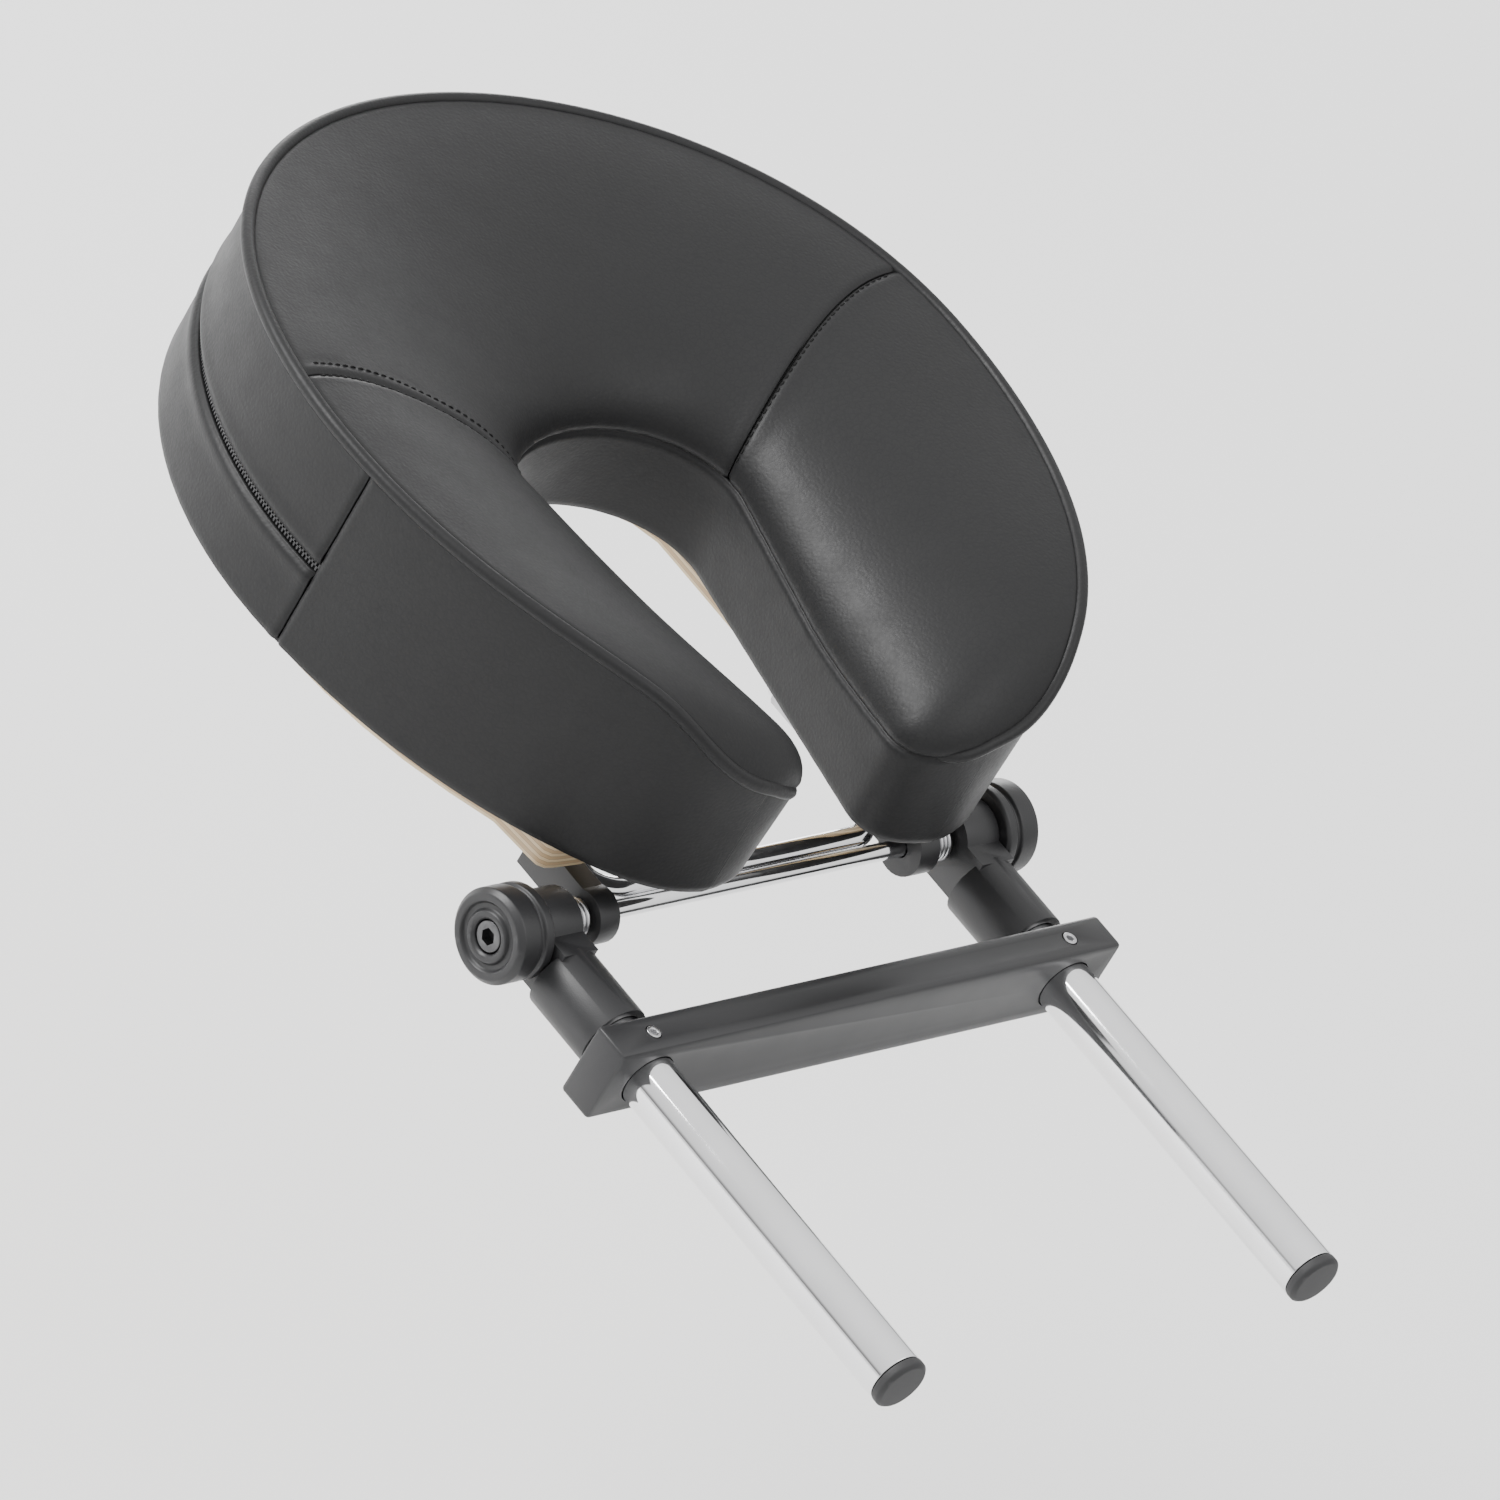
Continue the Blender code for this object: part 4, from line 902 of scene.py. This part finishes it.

# a thin dark sheet behind the cover, which closes what the seams and the zip leave open: it is painted shade, which
# makes the seam gaps and the zip read as dark lines
SHADE_SHEET_DEPTH, SHADE_SHEET_THICKNESS = 0.0008, 0.0004
rows = wall_rows(-ROWS + 0.3, ROWS - 0.3, fine=False)
for label, low, high, outside, depth in (("top", J_EDGE, J_SEAM, 1, SHADE_SHEET_DEPTH),
                                         ("outer", 0, J_EDGE, 1, 0.0026), ("inner", J_SEAM, J_FOOT, 1, SHADE_SHEET_DEPTH)):
    points = skin(rows[:, None], np.linspace(low + 0.25, high - 0.1, 30)[None, :], low, high)
    normal = grid_normals(points) * outside
    shade_sheet = sheet_solid(f"lining_{label}", points - normal * depth, normal, SHADE_SHEET_THICKNESS, pi)
    piece(shade_sheet, "cushion", "cover", finish="seam_shade_sheet")

# the base panel, closed at its sides by the boxing
base_rows = wall_rows(-ROWS, ROWS)
base_points = skin(base_rows[:, None], np.linspace(J_FOOT, RING, 12)[None, :], J_FOOT, RING)
panel("base_panel_soft", base_points, ["base_panel"], 9.0, (0, 0, 1, 1))

# ---------------------------------------------------------------- foams under the cover
LAYER_TOP, LAYER_JOINT, FOAM_INSET = 0.0032, 0.0150, 0.0075


def foam_section(row, low, high):
    """A closed ring of a foam layer between two depths under the top; low None reaches the base."""
    outer, inner = outer_at(row), inner_at(row)
    width = np.linalg.norm(outer - inner)
    share = np.clip((FOAM_INSET + 0.001) / max(width, 1e-4), 0.0, 0.35)
    a, b = outer + (inner - outer) * share, outer + (inner - outer) * (1 - share)
    steps = np.linspace(0, 1, 14)
    j = J_EDGE + 0.6 + (TOP - 2.4) * steps
    top = skin(np.full(14, row), j, J_EDGE, J_SEAM)[:, 2]
    plan = a + (b - a) * steps[:, None]
    plan[:, 1] += CROWN_CENTRE[1]
    upper = np.column_stack([plan, top - high])
    floor = np.full(14, FLOOR_OF_CUSHION + 0.0028) if low is None else top - low
    upper[:, 2] = np.maximum(upper[:, 2], floor + 0.0015)
    under = np.column_stack([plan, floor])[::-1]
    return np.concatenate([upper, under])


def foam_layer(name, low, high, slot, node):
    rows = np.linspace(-ROWS + 1.2, ROWS - 1.2, 110)
    rings = np.array([foam_section(row, low, high) for row in rows])
    n, k = rings.shape[:2]
    faces = [(i * k + j, (i + 1) * k + j, (i + 1) * k + (j + 1) % k, i * k + (j + 1) % k)
             for i in range(n - 1) for j in range(k)]
    faces += end_faces(n, k)
    piece(mesh_object(name, rings.reshape(-1, 3), faces), "cushion", slot, [node])


foam_layer("foam_core_soft", None, LAYER_JOINT + 0.0003, "foam", "foam_core")
foam_layer("comfort_layer_soft", LAYER_JOINT, LAYER_TOP, "comfort", "comfort_layer")

# ---------------------------------------------------------------- welt along the top edge
WELT = 0.0023
edge_rows = wall_rows(-ROWS, ROWS, 0.0022, fine=False)
edge_line = skin(edge_rows, np.full(len(edge_rows), float(J_EDGE)), J_EDGE, J_SEAM)
edge_out = np.column_stack([outward(edge_rows), np.zeros(len(edge_rows))])
outer_line = edge_line + edge_out * 0.0010 + [0, 0, -0.0003]
in_rows = wall_rows(-ROWS, ROWS, 0.0022, inner=True, fine=False)[::-1][1:-1]
in_line = skin(in_rows, np.full(len(in_rows), float(J_SEAM)), J_EDGE, J_SEAM)
in_out = np.column_stack([outward(in_rows, inner=True), np.zeros(len(in_rows))])
sink = smooth((ROWS - 1.0 - abs(in_rows)) / 1.6)
in_line = in_line + in_out * (0.0010 - 0.0036 * sink)[:, None]
radii = np.r_[np.full(len(outer_line), WELT), WELT - 0.0015 * sink]
piece(tube("welt_cord", np.r_[outer_line, in_line], radii, 16, cyclic=True), "cushion", "cover", ["welt"])


# ---------------------------------------------------------------- stitching
def stitch_beside(name, front, normal, axis, end, distance, skip=0.006):
    """Stitches on a panel at a set distance from one of its sides."""
    near = edge_distances(front)
    order = {("a", 0): near[0], ("a", 1): near[1], ("b", 0): near[2], ("b", 1): near[3]}[(axis, end)]
    if axis == "a":
        order, front, normal = order.T, front.transpose(1, 0, 2), normal.transpose(1, 0, 2)
    line, normals = [], []
    for d, p, m in zip(order, front, normal):
        n = np.argsort(d)
        line.append([np.interp(distance, d[n], p[n, k]) for k in range(3)])
        normals.append([np.interp(distance, d[n], m[n, k]) for k in range(3)])
    line, normals = np.array(line), np.array(normals)
    reach = run_length(line)
    keep = (reach > skip) & (reach < reach[-1] - skip)
    made = stitches(name, line[keep], normals[keep])
    return piece(made, "cushion", "cover", finish="thread")


stitch_beside("topstitch_left", crown_front, crown_normal, "a", 0, TOPSTITCH)
for side in ("left", "right"):
    _, front, normal = arm_fronts[side]
    stitch_beside(f"arm_seam_stitch_{side}", front, normal, "a", 1 if side == "left" else 0, SEAM_STITCH)

# ---------------------------------------------------------------- zip
tape_points = wall_grid(zip_rows, zip_low - 0.0012, zip_high + 0.0012, 0, J_EDGE, 0.0012)
tape_normal = grid_normals(tape_points)
tape = sheet_solid("zip_tape_woven", tape_points - tape_normal * 0.0017, tape_normal, 0.0006, pi)
piece(tape, "cushion", "zip", ["zip_chain"])
coil_line, coil_out = (
    np.array([along_line(ZIP_Z, points[:, 2], values) for points, values in zip(tape_points, grid)])
    for grid in (tape_points, tape_normal))
reach = run_length(coil_line)
count = int(reach[-1] / 0.0016)
body, faces = [], []
for n in range(count):
    s = (n + 0.5) * reach[-1] / count
    c, m = along_line(s, reach, coil_line), along_line(s, reach, coil_out)
    t = np.cross([0, 0, 1.0], m)
    t /= np.linalg.norm(t)
    for sign in (1, -1):
        corners, quads = box_between((-0.0009, -0.00034, -0.0001), (0.0002, 0.00034, 0.0015))
        start = len(body)
        for x, y, z in corners:
            body.append(c - m * 0.0011 + m * x + t * (y + sign * 0.0004) + np.array([0, 0, sign * z]))
        faces += [tuple(start + q for q in quad) for quad in quads]
coil = mesh_object("zip_coil", body, faces)
piece(coil, "cushion", "zip", finish="coil")

for label, front_points, end in (("lower", lower_points, 1), ("upper", upper_points, 0)):
    normal = grid_normals(front_points)
    stitch_beside(f"zip_stitch_{label}", front_points - normal * 0.0001, normal, "b", end, ZIP_STITCH, 0.004)


def refined(node, body, slot, bevel=0.0006, segments=3, angle=radians(35), finish=None):
    """The CAD node's own solid with its edges rounded, for a piece whose outline is already right."""
    source = bpy.data.objects[node]
    made = add_object(f"{node}_finished", source.data.copy())
    made.matrix_world = source.matrix_world
    bm = bmesh.new()
    bm.from_mesh(made.data)
    bmesh.ops.remove_doubles(bm, verts=bm.verts, dist=1e-6)
    bmesh.ops.dissolve_limit(bm, angle_limit=radians(1), verts=bm.verts, edges=bm.edges)
    bmesh.ops.recalc_face_normals(bm, faces=bm.faces)
    bm.to_mesh(made.data)
    bm.free()
    bevelled(made, bevel, segments, angle)
    return piece(made, body, slot, [node], finish=finish)


SLIDER_TURN = radians(-1)


def on_crown(points):
    """Points in the slider's own frame, X out of the wall and Y along it, put in the frame of the part."""
    points = np.asarray(points, float)
    out = np.array([cos(SLIDER_TURN), sin(SLIDER_TURN), 0])
    along = np.array([-sin(SLIDER_TURN), cos(SLIDER_TURN), 0])
    base = np.array([0, CROWN_CENTRE[1], ZIP_Z]) + out * (CROWN_RADIUS + 0.0004)
    return base + points[:, :1] * out + points[:, 1:2] * along + points[:, 2:] * [0, 0, 1.0]


def crown_box(name, low, high, bevel=0.0):
    corners, quads = box_between(low, high)
    made = mesh_object(name, on_crown(corners), quads)
    return bevelled(made, bevel) if bevel else made


def joined(parts, name):
    """Several closed meshes as one object."""
    bm = bmesh.new()
    for part in parts:
        bm.from_mesh(part.data)
        bpy.data.objects.remove(part)
    mesh = bpy.data.meshes.new(name)
    bm.to_mesh(mesh)
    bm.free()
    shade(mesh, radians(45))
    return add_object(name, mesh)


# the slider's neck, which runs between the zip's lips, its plate outside them, and the pull's two lugs and pin
slider = joined([
    crown_box("s0", (-0.00165, -0.0038, -0.0015), (0.0010, 0.0038, 0.0015), 0.0004),
    crown_box("s1", (0.00055, -0.0045, -0.0033), (0.0030, 0.0045, 0.0033), 0.0009),
    crown_box("s2", (0.0024, -0.0011, 0.0024), (0.0060, 0.0011, 0.0033), 0.0003),
    crown_box("s3", (0.0024, -0.0011, -0.0033), (0.0060, 0.0011, -0.0024), 0.0003),
    tube("s4", on_crown([(0.0051, 0, -0.0031), (0.0051, 0, 0.0031)]), 0.0005, 16, rounded=0.0001),
], "zip_slider_cast")
piece(slider, "slider", "steel", ["zip_slider"])
refined("zip_pull", "pull", "steel", 0.00015, 2, radians(50))

# ---------------------------------------------------------------- platform
refined("platform_board", "platform", "plywood", 0.0011, 3, radians(60))

LEG_X, ROD, LEG_Z = 0.065, 0.004, BOARD_BOTTOM - 0.0003 - 0.004


def carrier_line():
    cross_y, corner = AXLE_Y + 0.0075, 0.012
    right = [((LEG_X - corner) * t, cross_y) for t in np.linspace(0, 1, 12)[:-1]]
    right += [(LEG_X - corner + corner * sin(a), cross_y + corner * (1 - cos(a)))
              for a in np.linspace(0, pi / 2, 16)]
    right += [(LEG_X, y) for y in np.linspace(right[-1][1], 0.130, 30)[1:]]
    ramp = cross_y + corner / 3
    points = [(x, y, LEG_Z * smooth((y - ramp) / (0.096 - ramp))) for x, y in right]
    return [(-x, y, z) for x, y, z in points[:0:-1]] + points


piece(tube("carrier_rod_bent", carrier_line(), ROD, 32, rounded=0.0012), "platform", "chrome", ["carrier_rod"])
piece(tube("tie_rod_turned", [(-TIE_ROD_END, AXLE_Y, 0), (TIE_ROD_END, AXLE_Y, 0)], 0.003, 32, rounded=0.0005),
      "mounting_frame", "chrome", ["tie_rod"])


for side, sign in (("left", -1), ("right", 1)):
    axis = (sign, 0, 0)
    # knob: a ringed end face and a waist
    length, radius = 0.0158, 0.0155
    profile = rounded_profile([
        (0.0056, length - 0.0010), (0.0066, length), (0.0082, length), (0.0090, length - 0.0016),
        (0.0106, length - 0.0016), (0.0114, length - 0.0002), (radius - 0.0018, length - 0.0002),
        (radius, length - 0.0020), (radius, length * 0.42), (radius - 0.0012, length * 0.38),
        (radius - 0.0012, length * 0.30), (radius, length * 0.26), (radius, 0.0010), (radius - 0.0010, 0.0),
        (0.0034, 0.0), (0.0034, length - 0.0075), (0.0056, length - 0.0075)], 0.0005)
    knob = lathe(f"clamp_knob_{side}_moulded", profile, (sign * KNOB_X, AXLE_Y, 0), axis, 96)
    piece(knob, f"{side}_knob", "plastic", [f"clamp_knob_{side}"])
    bolt = lathe(f"knob_bolt_{side}_head", rounded_profile([
        (0.0, 0.0062), (0.0052, 0.0062), (0.0052, 0.0), (0.0, 0.0)], 0.0006), (sign * BOLT_X, AXLE_Y, 0), axis, 48)
    cutter = lathe("hex", [(0.0, 0.0082), (0.0029, 0.0082), (0.0029, 0.0027), (0.0, 0.0027)],
                   (sign * BOLT_X, AXLE_Y, 0), axis, 6)
    cut_by(bolt, cutter)
    shade(bolt.data, radians(32))
    piece(bolt, f"{side}_knob", "steel", [f"knob_bolt_{side}"], finish="blackened")
    # posts and their caps
    x = sign * POST_X
    wall = rounded_profile([(0.0080, 0.174), (0.0095, 0.174), (0.0095, 0.0), (0.0080, 0.0)], 0.0004)
    post = lathe(f"post_{side}_tube", wall, (x, POST_END_Y, POST_Z), (0, 1, 0), 64)
    piece(post, "mounting_frame", "chrome", [f"post_{side}"])
    cap = lathe(f"post_cap_{side}_moulded", rounded_profile([
        (0.0, 0.004), (0.0083, 0.004), (0.0095, 0.0028), (0.0095, 0.0003), (0.0077, 0.0003), (0.0077, -0.012),
        (0.0, -0.012)], 0.0005), (x, POST_END_Y, POST_Z), (0, -1, 0), 64)
    piece(cap, "mounting_frame", "plastic", [f"post_cap_{side}"], finish="rubber")
    # spring
    turns, wire, reach = 4, 0.0009, 0.009 - 0.0018
    coil_points = [(sign * (0.079 + wire + reach * t), AXLE_Y + 0.006 * cos(2 * pi * turns * t),
                    0.006 * sin(2 * pi * turns * t)) for t in np.linspace(0, 1, 4 * 36 + 1)]
    piece(tube(f"hinge_spring_{side}_wound", coil_points, wire, 12, rounded=0.0003), "mounting_frame", "steel",
          [f"hinge_spring_{side}"])
    refined(f"post_hub_{side}", "mounting_frame", "plastic", 0.0007)
    refined(f"hinge_collar_{side}", "platform", "plastic", 0.0007)
    refined(f"saddle_clip_{side}", "platform", "steel", 0.0002, 2, radians(50))
    refined(f"grub_screw_{side}", "mounting_frame", "steel", 0.0002, 2, radians(50))
    for number in (1, 2):
        refined(f"clip_screw_{side}_{number}", "platform", "steel", 0.0003, 2)
refined("stop_bar", "mounting_frame", "plastic", 0.0005)

# ---------------------------------------------------------------- hook and loop
TAPE_SHARE, PILE_PITCH, PILE_WIRE = 0.5, 0.0016, 0.00009
HOOK_PATH = ((0, 0), (0, 0.30), (0.10, 0.50), (0.26, 0.52), (0.34, 0.36))
LOOP_PATH = ((-0.34, 0), (-0.30, -0.30), (-0.10, -0.50), (0.16, -0.48), (0.32, -0.26), (0.30, 0))


def pile(name, node, up, path):
    """Small hooks or loops that stand on one face of a tape, from a path in millimetres."""
    random = np.random.default_rng(7)
    graph = bpy.context.evaluated_depsgraph_get()
    low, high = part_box(node.name)
    face = low[2] + (high[2] - low[2]) * (TAPE_SHARE if up else 1 - TAPE_SHARE)
    solid = bmesh.new()
    solid.from_mesh(node.evaluated_get(graph).data)
    solid.transform(node.matrix_world)
    tree = BVHTree.FromBMesh(solid)
    solid.free()
    body, faces, sides = [], [], 4
    for x in np.arange(low[0], high[0], PILE_PITCH):
        for y in np.arange(low[1], high[1], PILE_PITCH):
            dx, dy = random.uniform(-0.0003, 0.0003, 2)
            angle = random.uniform(0, 2 * pi)
            hit = tree.ray_cast(Vector((x + dx, y + dy, high[2] + 0.01)), Vector((0, 0, -1)))
            if hit[0] is None or abs(hit[1].z) < 0.9:
                continue
            along = np.array([cos(angle), sin(angle), 0])
            across = np.array([-sin(angle), cos(angle), 0])
            start = len(body)
            line = np.array(path, float) * 0.001
            ahead = np.gradient(line, axis=0)
            ahead /= np.linalg.norm(ahead, axis=1, keepdims=True)
            for (a, b), (ta, tb) in zip(line, ahead):
                centre = np.array([x + dx, y + dy, face + b]) + along * a
                square = along * -tb + np.array([0, 0, ta])
                for k in range(sides):
                    t = 2 * pi * k / sides
                    body.append(centre + (across * cos(t) + square * sin(t)) * PILE_WIRE)
            faces += ring_faces(len(path), sides, start) + end_faces(len(path), sides, start)
    return mesh_object(name, body, faces)


for place in ("left", "crown", "right"):
    for kind, body, up, path in (("hook", "platform", True, HOOK_PATH), ("loop", "cushion", False, LOOP_PATH)):
        node = bpy.data.objects[f"{kind}_strip_{place}"]
        low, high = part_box(node.name)
        piece(pile(f"{kind}_pile_{place}", node, up, path), body, "tape", finish="pile")
        tape = refined(node.name, body, "tape", 0.0002, 2, radians(60))
        held = low[2] if up else high[2]
        for vertex in tape.data.vertices:
            z = (tape.matrix_world @ vertex.co).z
            vertex.co.z += (held - z) * (1 - TAPE_SHARE)

# ---------------------------------------------------------------- floor, light and camera
FLOOR_Z = -0.32


def plain(name, colour, rough):
    f = Finish(name)
    cloud = f.noise(1.2, 3.0)
    return f.set(Base_Color=f.ramp(cloud, [(0.3, colour), (0.7, tuple(c * 1.01 for c in colour))]), Roughness=rough,
                 Specular_IOR_Level=0.1).material


points = [(x, y, FLOOR_Z) for x in (-14, 14) for y in (-14, 14)]
floor = mesh_object("floor", points, [(0, 2, 3, 1)])
floor.data.materials.append(plain("pale_floor", (0.93, 0.93, 0.93), 0.9))

world = bpy.data.worlds.new("studio")
SCENE.world = world
world.use_nodes = True
tree = world.node_tree
background = tree.nodes["Background"]
coordinates = tree.nodes.new("ShaderNodeTexCoord")
split = tree.nodes.new("ShaderNodeSeparateXYZ")
bands = tree.nodes.new("ShaderNodeValToRGB")
tree.links.new(coordinates.outputs["Generated"], split.inputs[0])
reach = tree.nodes.new("ShaderNodeMapRange")
reach.inputs["From Min"].default_value = -1.0
tree.links.new(split.outputs["Z"], reach.inputs["Value"])
tree.links.new(reach.outputs[0], bands.inputs["Fac"])
while len(bands.color_ramp.elements) < 5:
    bands.color_ramp.elements.new(0.5)
for element, (place, grey) in zip(bands.color_ramp.elements, (
        (0.0, 0.70), (0.44, 0.70), (0.52, 0.16), (0.60, 0.80), (1.0, 1.05))):
    element.position = place
    element.color = (grey, grey, grey, 1)
tree.links.new(bands.outputs["Color"], background.inputs["Color"])
background.inputs["Strength"].default_value = 1.45

MIDDLE = Vector((0.0, 0.096, 0.045))
EYE = Vector((-3.489, -1.964, 2.741))
FORWARD = (MIDDLE - EYE).normalized()
RIGHT = Vector((0.690, -0.581, 0.431))
RIGHT = (RIGHT - FORWARD * RIGHT.dot(FORWARD)).normalized()
UP = RIGHT.cross(FORWARD)
AIM_BELOW = 0.0145


def soft_light(name, place, size, power):
    data = bpy.data.lights.new(name, "AREA")
    data.shape, data.size, data.energy = "SQUARE", size, power
    light = bpy.data.objects.new(name, data)
    SCENE.collection.objects.link(light)
    light.location = MIDDLE + place
    light.rotation_euler = (-place).to_track_quat("-Z", "Y").to_euler()


soft_light("key", -RIGHT * 1.2 + UP * 2.0 - FORWARD * 1.0, 1.1, 95)
soft_light("fill", RIGHT * 2.2 + UP * 0.9 - FORWARD * 1.6, 1.8, 22)
soft_light("rim", UP * 1.4 + FORWARD * 2.0, 1.2, 34)

lens = bpy.data.cameras.new("photo_view")
lens.sensor_width, lens.lens = 36.0, 372.0
camera = bpy.data.objects.new("photo_view", lens)
SCENE.collection.objects.link(camera)
aim = (MIDDLE - UP * AIM_BELOW - EYE).normalized()
turn = Matrix((RIGHT, RIGHT.cross(aim), -aim)).transposed()
camera.matrix_world = Matrix.Translation(EYE) @ turn.to_4x4()
SCENE.camera = camera
